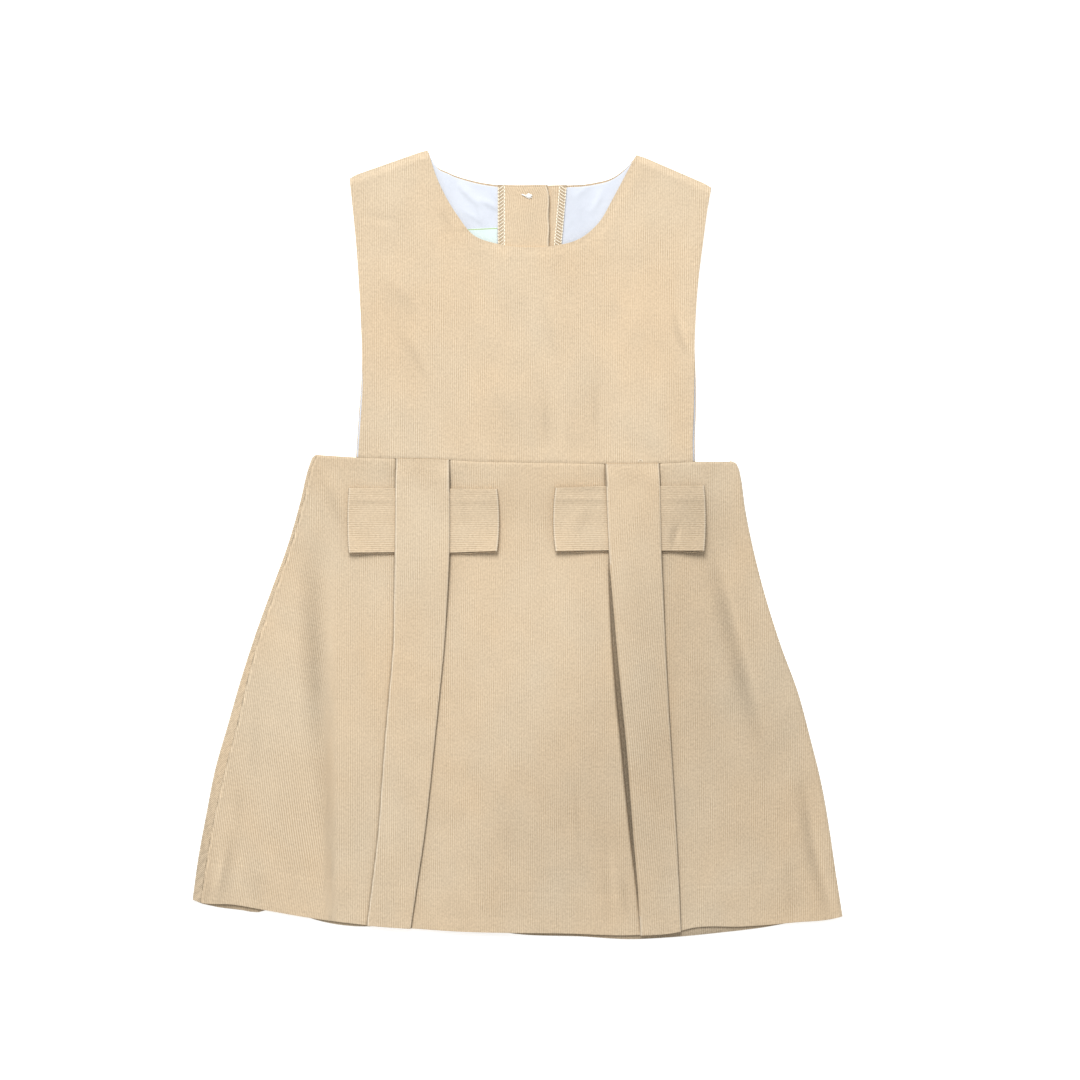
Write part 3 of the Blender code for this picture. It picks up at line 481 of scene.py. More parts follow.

# Painted shade in the troughs of creases and painted light on their ridges, as lines like those of the
# creases
PAINTED_CREASE_SHADING = table(
    CREASE,
    (-125.5, 2.0, -122.0, -112.0, 7.0, 5.5, -1.0),
    (-123.5, -50.0, -114.5, -196.0, 6.0, 5.0, -0.6, -1.0),
    (-113.0, 0.0, -112.0, -120.0, 2.5, 3.0, 0.3, -1.0),
    (-136.0, -10.0, -133.0, -130.0, 3.0, 3.0, 0.25),
    (-173.0, -176.0, -182.5, -219.0, 3.0, 3.5, -1.0),
    (-178.5, -186.0, -186.0, -216.0, 1.8, 1.8, 0.7),
    (-166.0, -182.0, -172.0, -216.0, 2.5, 2.5, 0.35),
    (-159.0, -96.0, -161.5, -142.0, 3.0, 4.0, -0.4),
    (-169.0, -146.0, -171.0, -176.0, 3.0, 3.0, -0.35),
    (-157.0, -196.0, -160.0, -222.0, 3.0, 4.0, -0.35),
    (-118.0, 40.0, -106.0, 10.0, 3.0, 3.5, -0.5),
    (116.0, -2.0, 148.0, -126.0, 5.5, 4.0, -1.05),
    (121.5, -2.0, 152.0, -112.0, 2.0, 2.5, 0.35),
    (172.0, -136.0, 190.5, -229.0, 4.5, 3.0, -0.95, -3.0),
    (178.0, -160.0, 195.0, -227.0, 2.5, 2.5, 0.5, -2.0),
    (164.0, -190.0, 166.0, -226.0, 3.0, 3.0, -0.35),
    (35.0, -136.0, 37.0, -200.0, 1.6, 1.6, -0.35),
    (52.0, -176.0, 55.0, -228.0, 1.4, 1.4, -0.6),
    (57.0, -180.0, 60.0, -228.0, 1.2, 1.2, 0.4),
    (64.0, -196.0, 66.0, -230.0, 1.2, 1.2, -0.5),
    (-44.0, 191.0, -17.0, 190.2, 1.0, 1.4, -0.5),
    (-47.0, 206.0, -40.0, 192.0, 3.0, 2.5, -0.4),
    (-81.0, 161.0, -62.0, 143.0, 4.0, 3.0, -0.3),
    (-73.0, 133.0, -53.0, 98.0, 3.0, 2.5, -0.3),
    (-68.0, 133.0, -48.0, 98.0, 2.0, 2.5, 0.25),
    (12.0, 158.0, 26.0, 108.0, 4.0, 3.0, -0.3),
    (95.0, 143.0, 104.0, 114.0, 2.0, 2.0, -0.7, -1.5),
    (98.5, 143.0, 107.0, 116.0, 1.4, 1.4, 0.4, -1.5),
    (16.5, 96.0, 17.5, 60.0, 2.0, 2.0, -0.45),
    (47.0, 98.0, 47.5, 66.0, 2.0, 2.0, -0.45),
    (26.0, 80.0, 27.0, 58.0, 2.5, 2.5, 0.35),
    (-96.0, 202.0, -70.0, 198.0, 1.5, 1.5, -0.45),
    (-96.0, 197.0, -74.0, 193.5, 1.4, 1.4, 0.35),
    # on the wings
    (-104.0, 26.2, -72.0, 26.0, 0.8, 0.8, -0.8),
    (-43.0, 26.2, -10.0, 26.0, 0.8, 0.8, -0.35),
    (19.0, 27.0, 57.0, 26.6, 0.8, 0.8, -0.9),
    (84.0, 26.8, 116.0, 26.4, 0.8, 0.8, -0.6),
    (19.0, 34.0, 56.0, 33.0, 1.2, 2.0, -0.6),
    (46.0, 22.0, 33.0, 3.0, 3.0, 3.0, -0.45),
    (38.0, 22.0, 27.0, 6.0, 3.0, 3.0, 0.35),
    (97.0, 14.0, 93.0, -3.0, 2.5, 1.3, -0.9),
    (100.0, 13.0, 96.5, -2.0, 1.5, 1.8, 0.6),
    (-33.0, 30.0, -31.0, 12.0, 2.0, 2.0, -0.3),
)

SKIRT_CREASES = table(
    CREASE,
    # the left panel: two ridges with a trough between them, and pulls below the waist
    (-138.0, 20.0, -152.0, -196.0, 17.0, 12.0, 1.7, 3.0),
    (-108.0, 14.0, -102.0, -208.0, 10.0, 14.0, 1.4, -2.5),
    (-123.5, 2.0, -114.0, -190.0, 5.0, 5.0, -0.25, -2.0),
    (-116.0, 42.0, -105.0, 10.0, 4.0, 5.0, 0.4),
    (-107.0, 46.0, -122.0, 24.0, 4.0, 5.0, 0.35),
    (-126.0, 46.0, -134.0, 16.0, 4.0, 5.0, 0.3),
    (-170.0, -172.0, -177.0, -222.0, 5.0, 6.0, 0.5),
    (-158.0, -96.0, -161.0, -142.0, 5.0, 7.0, 0.3),
    (-150.0, -186.0, -156.0, -226.0, 7.0, 5.0, 0.35),
    (-128.0, -150.0, -130.0, -222.0, 7.0, 5.0, 0.25),
    (-97.0, -110.0, -103.0, -200.0, 6.0, 5.0, 0.25),
    # the centre panel
    (-16.0, -40.0, -30.0, -112.0, 6.0, 8.0, -0.2),
    (20.0, -100.0, 21.0, -156.0, 7.0, 6.0, -0.2),
    (-2.0, -150.0, -4.0, -214.0, 6.0, 8.0, -0.25),
    (40.0, -150.0, 44.0, -222.0, 3.5, 5.0, 0.2),
    (53.0, -186.0, 56.0, -226.0, 2.5, 3.5, -0.2),
    (60.0, -190.0, 63.0, -228.0, 2.5, 2.0, 0.2),
    (0.0, 40.0, 6.0, -10.0, 9.0, 11.0, 0.3),
    # the right panel: a slanting trough between two ridges, and one that runs out at the hem
    (102.0, 8.0, 130.0, -120.0, 17.0, 9.0, 1.5, 2.0),
    (129.0, 4.0, 162.0, -142.0, 9.0, 14.0, 1.6, 3.0),
    (116.0, -2.0, 146.0, -120.0, 4.0, 4.0, -0.2, 1.0),
    (162.0, -132.0, 182.0, -230.0, 15.0, 8.0, 1.5, -3.0),
    (190.0, -176.0, 196.0, -222.0, 4.0, 5.0, 0.5),
    (104.0, 48.0, 118.0, 20.0, 5.0, 4.0, 0.4),
    (122.0, 40.0, 128.0, 14.0, 5.0, 5.0, 0.3),
    (108.0, -130.0, 118.0, -216.0, 9.0, 11.0, 0.35),
    (136.0, -150.0, 144.0, -224.0, 9.0, 7.0, 0.3),
)

BACK_CREASES = table(
    CREASE,
    # soft lifts below the front's ridges, which leave room for them
    (-134.0, 10.0, -148.0, -180.0, 9.0, 7.0, 0.9, 3.0),
    (-108.0, 10.0, -104.0, -196.0, 6.0, 8.0, 0.6, -2.5),
    (18.0, -60.0, -22.0, -200.0, 9.0, 12.0, 1.2, 6.0),
    (-28.0, -20.0, -36.0, -120.0, 5.0, 8.0, 0.4),
    (108.0, -10.0, 134.0, -112.0, 7.0, 6.0, 0.8, 2.0),
    (130.0, -10.0, 160.0, -130.0, 6.0, 8.0, 0.9, 2.0),
    (162.0, -142.0, 182.0, -222.0, 8.0, 5.0, 0.9, -2.0),
)

BACK_BODICE_CREASES = table(
    CREASE,
    # soft lifts of the back, which the front above follows
    (-86.0, 178.0, -62.0, 118.0, 7.0, 9.0, 0.45, 2.0),
    (-76.0, 104.0, -54.0, 60.0, 6.0, 8.0, 0.4, -1.0),
    (-40.0, 150.0, -34.0, 84.0, 6.0, 7.0, 0.35, 1.0),
    (84.0, 172.0, 66.0, 112.0, 8.0, 7.0, 0.45, -2.0),
    (90.0, 100.0, 74.0, 62.0, 6.0, 8.0, 0.35),
    (46.0, 140.0, 42.0, 70.0, 5.0, 7.0, 0.3, 1.0),
)

PLEAT_CREASES = table(
    CREASE,
    (-62.0, 22.0, -66.0, -34.0, 5.0, 6.0, 0.35),
    (-78.0, -66.0, -46.0, -84.0, 3.0, 5.0, 0.25),
    (-74.0, -150.0, -80.0, -220.0, 4.0, 5.0, 0.4),
    (70.0, 30.0, 69.0, -20.0, 5.0, 6.0, 0.35),
    (84.0, -180.0, 86.0, -230.0, 4.0, 5.0, 0.4),
)

BODICE_CREASES = table(
    CREASE,
    (-97.0, 203.5, -71.0, 198.0, 3.0, 4.0, -0.16),
    (-95.0, 197.0, -72.0, 193.0, 3.0, 3.0, 0.18),
    (-80.0, 226.0, -62.0, 222.0, 4.0, 5.0, 0.2),
    (-84.0, 166.0, -60.0, 140.0, 8.0, 6.0, 0.4),
    (-88.0, 140.0, -49.0, 93.0, 5.0, 6.0, -0.2, 1.5),
    (-76.0, 138.0, -42.0, 96.0, 7.0, 8.0, 0.4, 1.0),
    (8.0, 158.0, 37.0, 100.0, 6.0, 8.0, -0.2, 2.0),
    (20.0, 160.0, 48.0, 104.0, 9.0, 12.0, 0.35, 2.0),
    (53.0, 172.0, 54.0, 145.0, 4.0, 5.0, -0.15),
    (93.0, 146.0, 95.0, 122.0, 3.0, 4.0, -0.2),
    (92.0, 126.0, 105.0, 114.0, 3.0, 4.0, -0.18),
    (97.0, 136.0, 107.0, 126.0, 4.0, 4.0, 0.25),
    (10.0, 96.0, 21.0, 56.0, 4.0, 6.0, -0.2, -1.0),
    (34.0, 90.0, 28.0, 60.0, 5.0, 6.0, 0.2),
    (47.0, 98.0, 46.0, 64.0, 4.0, 5.0, -0.18),
    (-24.0, 70.0, -6.0, 54.0, 4.0, 5.0, -0.18),
    (-86.0, 84.0, -60.0, 64.0, 8.0, 10.0, -0.2),
    (-42.0, 190.0, -17.0, 189.6, 1.2, 1.8, -0.12),
    (72.0, 206.0, 86.0, 196.0, 4.0, 5.0, 0.18),
    (78.0, 100.0, 96.0, 78.0, 6.0, 8.0, 0.2),
)

LINING_CREASES = table(
    CREASE,
    (-37.0, 221.0, -22.0, 206.0, 1.6, 3.0, 0.8, -1.0),
    (-25.0, 212.0, -21.0, 192.0, 1.6, 2.6, 0.7),
    (-24.0, 210.0, -10.0, 203.0, 1.5, 2.6, 0.6, 0.5),
    (-45.0, 226.0, -43.0, 208.0, 1.2, 2.2, 0.5),
    (-15.0, 217.0, -11.0, 206.0, 1.2, 1.8, 0.4),
    (-34.0, 204.0, -22.0, 196.0, 1.2, 2.0, 0.35),
    (34.0, 216.0, 38.0, 198.0, 1.6, 2.8, 0.5),
    (52.0, 218.0, 44.0, 202.0, 1.6, 2.4, 0.55, 1.0),
    (46.0, 222.0, 34.0, 210.0, 1.4, 2.2, 0.35),
)

WING_CREASES = table(
    CREASE,
    # the crease that was pressed along each band, then soft dents across them
    (-112.0, 26.0, -66.0, 25.8, 1.6, 3.4, 0.22),
    (-50.0, 26.0, -4.0, 25.8, 1.6, 3.4, 0.2),
    (14.0, 26.8, 62.0, 26.2, 1.5, 3.2, 0.3),
    (78.0, 26.8, 122.0, 26.4, 1.6, 3.4, 0.22),
    (46.0, 23.0, 30.0, 5.0, 2.5, 4.0, -0.25),
    (99.0, 13.0, 96.0, -4.0, 3.5, 2.5, -0.25),
    (105.0, 12.0, 103.0, -4.0, 2.5, 4.0, 0.4),
    (-36.0, 27.0, -33.0, 9.0, 1.8, 3.5, -0.25),
    (-94.0, 22.0, -90.0, 4.0, 6.0, 4.0, 0.25),
)

# The wings: the pleat edge that each goes under, the side it points to, its outer end and how far that
# bows out, its upper and lower edges at the pleat and at the outer end, and how far it stands up
WINGS = (
    # name, edge, side, outer, bow, top_in, top_out, low_in, low_out, lift
    ("wing_left_outer", "pleat_1_left", -1, -102.7, 0.9, 34.2, 34.2, -4.6, -5.0, 1.3),
    ("wing_left_inner", "pleat_1_right", 1, -12.1, 1.2, 34.0, 33.6, -5.4, -4.0, 1.5),
    ("wing_right_outer", "pleat_2_right", 1, 113.7, 1.0, 35.3, 35.9, -3.8, -3.8, 2.9),
    ("wing_right_inner", "pleat_2_left", -1, 22.9, 1.4, 35.9, 34.5, -3.4, -4.0, 1.5),
)

PLEAT_EDGES = ("pleat_1_left", "pleat_1_right", "pleat_2_left", "pleat_2_right")

# The halves of the back: the way from the side to the placket, the fold and the lining's edge there, and
# the shoulder's end at the neck and at its tip
HALVES = {
    "left": (1, LEFT_FOLD, LEFT_LINING_EDGE, NECK_LEFT, SHOULDER_LEFT),
    "right": (-1, RIGHT_FOLD, RIGHT_LINING_EDGE, NECK_RIGHT, SHOULDER_RIGHT),
}
LOW_LEFT, LOW_RIGHT = BODICE_SIDES["left"][0], BODICE_SIDES["right"][0]


# ---------------------------------------------------------------- reading sizes

def curve(places, values, at):
    """Read a smooth curve through the values, level beyond its two ends."""
    slopes = np.gradient(values, places)
    at = np.clip(at, places[0], places[-1])
    first = np.clip(np.searchsorted(places, at, side="right") - 1, 0, len(places) - 2)
    step = places[first + 1] - places[first]
    t = (at - places[first]) / step
    start = (1 + 2 * t) * (1 - t) ** 2 * values[first] + t * (1 - t) ** 2 * step * slopes[first]
    end = t * t * (3 - 2 * t) * values[first + 1] + t * t * (t - 1) * step * slopes[first + 1]
    return start + end


def ramp(value, start, end):
    """Rise softly from 0 at the start to 1 at the end."""
    t = np.clip((value - start) / (end - start), 0.0, 1.0)
    return t * t * (3 - 2 * t)


def mix(first, second, share):
    return first + (second - first) * share


def layer(number):
    """The height of the middle of a layer of cloth, counted up from the one on the surface."""
    return CLOTH / 2 + number * LAYER


def spans(start, *stops):
    """Places from a start to each stop in turn, in equal steps; a stop is a place and its steps."""
    places = [start]
    for stop, steps in stops:
        places += list(np.linspace(places[-1], stop, steps + 1)[1:])
    return np.array(places)


def waist_y(x):
    return np.interp(x, WAIST["x"], WAIST["y"])


def hem_y(x):
    return curve(FRONT_HEM["x"], FRONT_HEM["y"], x)


def skirt_x(name, down):
    return curve(SKIRT["down"], SKIRT[name], down)


def edge_beside(name, x, y):
    """Where an edge of a pleat is, at the height of a place."""
    return skirt_x(name, (waist_y(x) - y) / (waist_y(x) - hem_y(x)))


def creases(lines, x, y):
    """The height that a set of creases adds: each fades at its ends, and its two flanks differ."""
    height = 0.0 * (x + y)
    for x_1, y_1, x_2, y_2, west, east, rise, bow in zip(*lines.values()):
        length = hypot(x_2 - x_1, y_2 - y_1)
        along = ((x - x_1) * (x_2 - x_1) + (y - y_1) * (y_2 - y_1)) / length ** 2
        across = ((x - x_1) * (y_2 - y_1) - (y - y_1) * (x_2 - x_1)) / length
        across += bow * 4 * np.clip(along, 0, 1) * (1 - np.clip(along, 0, 1))
        ends = ramp(along, *CREASE_START) * (1 - ramp(along, *CREASE_END))
        width = np.where(across > 0, west, east)
        height += rise * ends * np.exp(-(across / width) ** 2)
    return height


# ---------------------------------------------------------------- how high each layer lies

def button_lift(x, y):
    across = 1 - ramp(abs(x - BUTTON_X), BUTTON_FLAT, BUTTON_SPREAD)
    return BUTTON_LIFT * across * ramp(y, BUTTON_LIFT_START, BUTTON_LIFT_FULL)


def right_half_height(x, y):
    return layer(0) + button_lift(x, y) + creases(BACK_BODICE_CREASES, x, y)


def left_half_height(x, y):
    """The left half climbs onto the right one and its facing."""
    return right_half_height(x, y) + 2 * LAYER * ramp(x, CLIMB_START, CLIMB_END)


def neck_stitching(x, y):
    """The fine dent along the back neck's stitching."""
    return -NECK_DENT * np.exp(-((back_top_y(x) - y - NECK_STITCHING) / NECK_DENT_WIDTH) ** 2)


def left_facing_height(x, y):
    over_lining = 1 - ramp(x, LEFT_LINING_EDGE + GAP, LEFT_LINING_EDGE + FACING_STEP)
    return left_half_height(x, y) + LAYER + FACING_LAP * over_lining + neck_stitching(x, y)


def right_facing_height(x, y):
    lap = FACING_LAP * ramp(x, *RIGHT_FACING_CLIMB)
    return right_half_height(x, y) + LAYER + lap + neck_stitching(x, y)


def shoulder_room(x, y):
    """How far below the shoulder line a place is, or how far inside the neck beyond it."""
    rooms = []
    for toward, _, _, (x_2, y_2), (x_1, y_1) in HALVES.values():
        inside = np.maximum(toward * (x - x_2), 0.0)
        rooms.append(mix(y_1, y_2, (x - x_1) / (x_2 - x_1)) - y + inside)
    return np.minimum(*rooms)


def lining_height(half_height, x, y):
    """A lining lies low in its layer, and lower under the shoulder seam."""
    drop = LINING_DROP + LINING_SHOULDER_DROP * (1 - ramp(shoulder_room(x, y), 0.0, LINING_DROP_WIDTH))
    return half_height(x, y) + LAYER - drop + neck_stitching(x, y) + creases(LINING_CREASES, x, y)


def placket_swell(x):
    rise = ramp(x, SWELL_LEFT, LEFT_FACING_EDGE) * (1 - ramp(x, LEFT_FOLD + SWELL_END_ROOM, SWELL_RIGHT))
    return (2 * LAYER + SWELL_ROOM) * rise


def over_pleat(x, step):
    """1 across a pleat at the waist and 0 beside it; the step is this wide outside the pleat and in it."""
    across = 0.0 * x
    for left, right in (PLEAT_EDGES[:2], PLEAT_EDGES[2:]):
        rise = ramp(x - SKIRT[left][0], -step, step)
        fall = ramp(SKIRT[right][0] - x, -step, step)
        across = np.maximum(across, rise * fall)
    return across


def seam_dip(distance):
    """How an edge dips into the seam that it is sewn in."""
    return -SEAM_ROLL * (1 - ramp(distance, 0.0, SEAM_ROLL_WIDTH))


def neck_line(x):
    return curve(FRONT_NECK["x"], FRONT_NECK["y"], x)


def neck_distance(x, y):
    """How far below the front neckline a place is, square to it."""
    slope = (neck_line(x + SLOPE_REACH) - neck_line(x - SLOPE_REACH)) / (2 * SLOPE_REACH)
    return (neck_line(x) - y) / np.hypot(1.0, slope)


def front_bodice_height(x, y):
    above_waist = y - waist_y(x)
    off_waist = ramp(above_waist, 0.0, PLEAT_STEP_TOP)
    pleat = PLEAT_RISE * over_pleat(x, BODICE_STEP) * (1 - off_waist)
    drop = LAYER * (1 - ramp(shoulder_room(x, y), 0.0, SHOULDER_DROP))
    neck = NECK_DIP * (1 - ramp(neck_distance(x, y), 0.0, NECK_DIP_WIDTH))
    base = right_half_height(x, y) + 2 * LAYER + FRONT_ROOM + placket_swell(x)
    return base + pleat - drop - neck + seam_dip(above_waist) + creases(BODICE_CREASES, x, y) * off_waist


def pleat_press(x, y):
    """How much closer a pleat's layers are pressed at the waist."""
    return PLEAT_PRESS * (1 - ramp(waist_y(x) - y, 0.0, PLEAT_PRESS_DOWN))


def under_pleat(x, y):
    """The front skirt's panel as it runs on under the pleats."""
    under_bodice = (ramp(x, LOW_LEFT - BESIDE_BODICE, LOW_LEFT)
                    * (1 - ramp(x, LOW_RIGHT, LOW_RIGHT + BESIDE_BODICE)))
    at_waist = placket_swell(x) + LAYER * (1 - over_pleat(x, PANEL_STEP)) * under_bodice
    eased = 1 - ramp(waist_y(x) - y, WAIST_FLAT, WAIST_EASE)
    pressed = pleat_press(x, y) * over_pleat(x, PANEL_STEP)
    return layer(1) + at_waist * eased - pressed + creases(SKIRT_CREASES, x, y)


def centre_swell(x, y):
    """How the centre panel swells to its crest, then drops into the second pleat's open mouth."""
    first, edge = edge_beside("pleat_1_right", x, y), edge_beside("pleat_2_left", x, y)
    gap, crest, height, brink = (curve(MOUTH["y"], MOUTH[name], y)
                                 for name in ("gap", "crest", "height", "brink"))
    last = edge - gap - MOUTH_ROUND
    top = mix(height * ramp(x, first, crest), brink, ramp(x, crest, last))
    return top * (1 - ramp(x, last, edge - MOUTH_FOOT * gap))


def panel_height(x, y):
    """The front skirt's own panel, which the pleats and wings lie on."""
    dip = seam_dip(waist_y(x) - y) * (1 - over_pleat(x, PANEL_STEP))
    return under_pleat(x, y) + centre_swell(x, y) + dip


def hem_stitching(x, y):
    """The hem is doubled below its stitching, which dents the cloth."""
    above = y - hem_y(x) - HEM_DEPTH
    rise = HEM_RISE * (1 - ramp(above, -HEM_RISE_DEPTH, 0.0))
    return rise - HEM_DENT * np.exp(-(above / HEM_DENT_WIDTH) ** 2)


def beside_seam(x, y):
    """How far a place is from the left side seam, which wanders, and how tight its thread is there."""
    turns = 2 * pi * y / SEAM_PUCKER
    wander = SEAM_WANDER * sum(share * np.sin(rate * turns + phase) for share, rate, phase in SEAM_WAVES)
    across = x - edge_beside("left", x, y) - edge_beside("roll", x, y) - wander
    pull, shift, shift_rate = SEAM_PULL
    drift, drift_rate = SEAM_DRIFT
    quick = pull * np.sin(turns + shift * np.sin(shift_rate * turns))
    return across, 1 + quick + drift * np.sin(drift_rate * turns)


def seam_ridge(x, y):
    """The ridge that the left side seam's turnings raise in the panel, drawn in unevenly by its thread."""
    across, uneven = beside_seam(x, y)
    return SEAM_RIDGE * uneven * np.exp(-((across - SEAM_RIDGE_AT) / SEAM_RIDGE_WIDTH) ** 2)


def seam_shading(x, y):
    """The painted shade in the left side seam and the painted highlight on the ridge beside it."""
    across, uneven = beside_seam(x, y)
    pale = SEAM_HIGHLIGHT * uneven * np.exp(-((across - SEAM_RIDGE_AT) / (SEAM_RIDGE_WIDTH / 2)) ** 2)
    return pale + SEAM_SHADE * uneven * (1 - ramp(across, SEAM_START, SEAM_RIDGE_AT / 2))


def side_shading(x, y):
    """The crushed, darker nap along the skirt's sides."""
    # Painted shade along the skirt's sides, darkest at their edges.
    inside = np.minimum(x - edge_beside("left", x, y), edge_beside("right", x, y) - x)
    return SIDE_SHADE * (1 - ramp(inside, 0.0, SIDE_SHADE_WIDTH))


def shown_panel_height(x, y):
    return panel_height(x, y) + hem_stitching(x, y) + seam_ridge(x, y)


def wing_lift(y):
    """How far the tucked wings push up a pleat."""
    return (2 * LAYER * ramp(y, WING_BAND_BOTTOM - WING_EASE_DOWN, WING_BAND_BOTTOM)
            * (1 - ramp(y, WING_BAND_TOP, WING_BAND_TOP + WING_EASE_UP)))


def return_height(x, y):
    return under_pleat(x, y) + LAYER + wing_lift(y) - pleat_press(x, y)


def face_height(x, y):
    stacked = return_height(x, y) + LAYER - pleat_press(x, y)
    return stacked + hem_stitching(x, y) + creases(PLEAT_CREASES, x, y)


def open_face_height(x, y):
    """The second pleat's face, which its open mouth lifts on the left."""
    near = 1 - ramp(x - edge_beside("pleat_2_left", x, y), 0.0, MOUTH_FADE)
    return face_height(x, y) + curve(MOUTH["y"], MOUTH["rise"], y) * near


def back_height(x, y):
    """The back skirt rests on the surface but for a few soft lifts."""
    return layer(0) + creases(BACK_CREASES, x, y)


# ---------------------------------------------------------------- making cloth

def plan(points):
    """Where points are, as seen from above."""
    return points[:, :, 0], points[:, :, 1]


def fold_reach(radius):
    """How far a fold bulges: as far as it is round, but less where its gap is tall."""
    return np.minimum(radius, LAYER / 2 + TALL_FOLD * (radius - LAYER / 2))


class Section:
    """A piece of cloth across all its rows, laid as runs along a layer and turns round folds.

    Every block of columns says which column its ribs are counted from, and whether they stand upright there
    or run alongside it.
    """

    def __init__(self, y_at):
        self.y_at = y_at
        self.blocks = []
        self.ribs = []

    def columns(self):
        return sum(block.shape[1] for block in self.blocks)

    def add(self, x, y, z):
        self.blocks.append(np.stack(np.broadcast_arrays(x, y, z), axis=2))

    def count_ribs(self, ahead, upright=True):
        """From the next column on, count the ribs from the column that lies so many further ahead."""
        self.ribs.append((self.columns(), self.columns() + ahead, upright))

    def run(self, start, stop, steps, height, last=False):
        """Go along a layer from one place to another; each is a number for every row."""
        share = np.linspace(0, 1, steps + 1)[:None if last else -1]
        x = start[:, None] + (stop - start)[:, None] * share
        y = self.y_at(x)
        self.add(x, y, height(x, y))

    def turn(self, x, low, high, side, up=True):
        """Go round a fold, from its low layer to its high one or back, bulging to a side."""
        angle = np.linspace(*((0, pi) if up else (pi, 0)), FOLD_STEPS + 1)[:-1]
        y = self.y_at(x[:, None])
        bottom = low(x[:, None], y)
        top = high(x[:, None], y)
        radius = (top - bottom) / 2
        bulge = side * fold_reach(radius) * np.sin(angle)
        self.add(x[:, None] + bulge, y, bottom + radius * (1 - np.cos(angle)))

    def grid(self):
        return np.concatenate(self.blocks, axis=1)


def lengths(points, axis):
    """How far each point lies along its row (axis 1) or column (axis 0), over the cloth."""
    steps = np.linalg.norm(np.diff(points, axis=axis), axis=2)
    start = np.zeros_like(np.take(steps, [0], axis=axis))
    return np.concatenate((start, np.cumsum(steps, axis=axis)), axis=axis)


def edge_distance(points):
    """How far each point is from the nearest edge of its cloth."""
    across, along = lengths(points, 1), lengths(points, 0)
    return np.minimum(np.minimum(across, across[:, -1:] - across), np.minimum(along, along[-1:] - along))


def fold_distance(points):
    """How far each point is from the outermost line of the nearest pressed fold across its columns."""
    steps = np.diff(points, axis=1)
    size = np.maximum(np.linalg.norm(steps, axis=2), 1e-6)
    heading = steps / size[:, :, None]
    turned = (heading[:, FOLD_SPAN:] * heading[:, :-FOLD_SPAN]).sum(axis=2) < FOLD_TURN
    distance = np.full(points.shape[:2], FAR)
    distance[:, FOLD_SPAN // 2 + 1:-FOLD_SPAN // 2][turned] = 0.0
    for column in range(1, distance.shape[1]):
        distance[:, column] = np.minimum(distance[:, column], distance[:, column - 1] + size[:, column - 1])
    for column in range(distance.shape[1] - 2, -1, -1):
        distance[:, column] = np.minimum(distance[:, column], distance[:, column + 1] + size[:, column])
    return distance


def patches(ovals, points):
    """How much a set of soft oval patches adds at each point."""
    x, y = plan(points)
    return sum(amount * np.exp(-((x - at_x) / wide) ** 2 - ((y - at_y) / tall) ** 2)
               for at_x, at_y, wide, tall, amount in zip(*ovals.values()))


def link(name, data):
    """Put an object with this data into the scene."""
    made = bpy.data.objects.new(name, data)
    bpy.context.scene.collection.objects.link(made)
    return made


def add_object(name, bm, material):
    """Make an object of a finished bmesh."""
    mesh = bpy.data.meshes.new(name)
    bm.to_mesh(mesh)
    bm.free()
    mesh.shade_smooth()
    mesh.materials.append(material)
    return link(name, mesh)


def add_piece(name, bm, material):
    """Make a piece of a finished bmesh, riding with the dress."""
    piece = add_object(name, bm, material)
    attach(piece, "root")
    return piece


def round_edges(piece, width, segments, angle):
    """Round the edges of a piece that are sharper than an angle."""
    rounding = piece.modifiers.new("Rounded edges", "BEVEL")
    rounding.affect = "EDGES"
    rounding.width = width * MM
    rounding.segments = segments
    rounding.profile = 0.5
    rounding.limit_method = "ANGLE"
    rounding.angle_limit = angle
    rounding.material = -1


def cloth(name, points, across, along, material, ribs=((0, None, False),), thickness=CLOTH,
          tone=0.0, clear=0.0):
    """A wall of cloth on a grid of points.

    Its UV map counts across its ribs and along them, in metres. Its attributes hold how far each point is
    from an edge and from a fold, in metres, its painted shade and painted light, and how clear its ribs
    are.
    """
    rows, columns = points.shape[:2]
    bm = bmesh.new()
    bmesh.ops.create_grid(bm, x_segments=columns - 1, y_segments=rows - 1, size=0.5)
    grain = bm.loops.layers.uv.new("grain")
    # the painted shade and painted light of each point: soft patches, lines along creases, and what each
    # piece adds
    facts = {"edge": edge_distance(points) * MM, "fold": fold_distance(points) * MM,
             "nap": patches(PAINTED_LIGHT_PATCHES, points) + creases(PAINTED_CREASE_SHADING, *plan(points)) + tone,
             "clear": patches(CLEAR, points) + clear}
    kept = {bm.verts.layers.float.new(name): values for name, values in facts.items()}
    place = {}
    for vert in bm.verts:
        column = round((vert.co.x + 0.5) * (columns - 1))
        row = round((vert.co.y + 0.5) * (rows - 1))
        place[vert] = row, column
        vert.co = points[row, column] * MM
        for values_layer, values in kept.items():
            vert[values_layer] = values[row, column]
    firsts = [first for first, _, _ in ribs]
    for face in bm.faces:
        column = min(place[vert][1] for vert in face.verts)
        _, beside, upright = ribs[int(np.searchsorted(firsts, column, side="right")) - 1]
        for loop in face.loops:
            row, at = place[loop.vert]
            start = 0.0 if beside is None else across[row, beside]
            if upright:
                start -= points[row, beside, 0]
            loop[grain].uv = (across[row, at] - start) * MM, along[row, at] * MM
    bmesh.ops.recalc_face_normals(bm, faces=bm.faces)
    piece = add_piece(f"{name}_cloth", bm, material)
    wall = piece.modifiers.new("Wall", "SOLIDIFY")
    wall.thickness = thickness * MM
    wall.offset = 0.0
    wall.use_even_offset = True
    round_edges(piece, EDGE_ROUND * thickness, 2, pi / 3)
    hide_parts(name)
    return piece


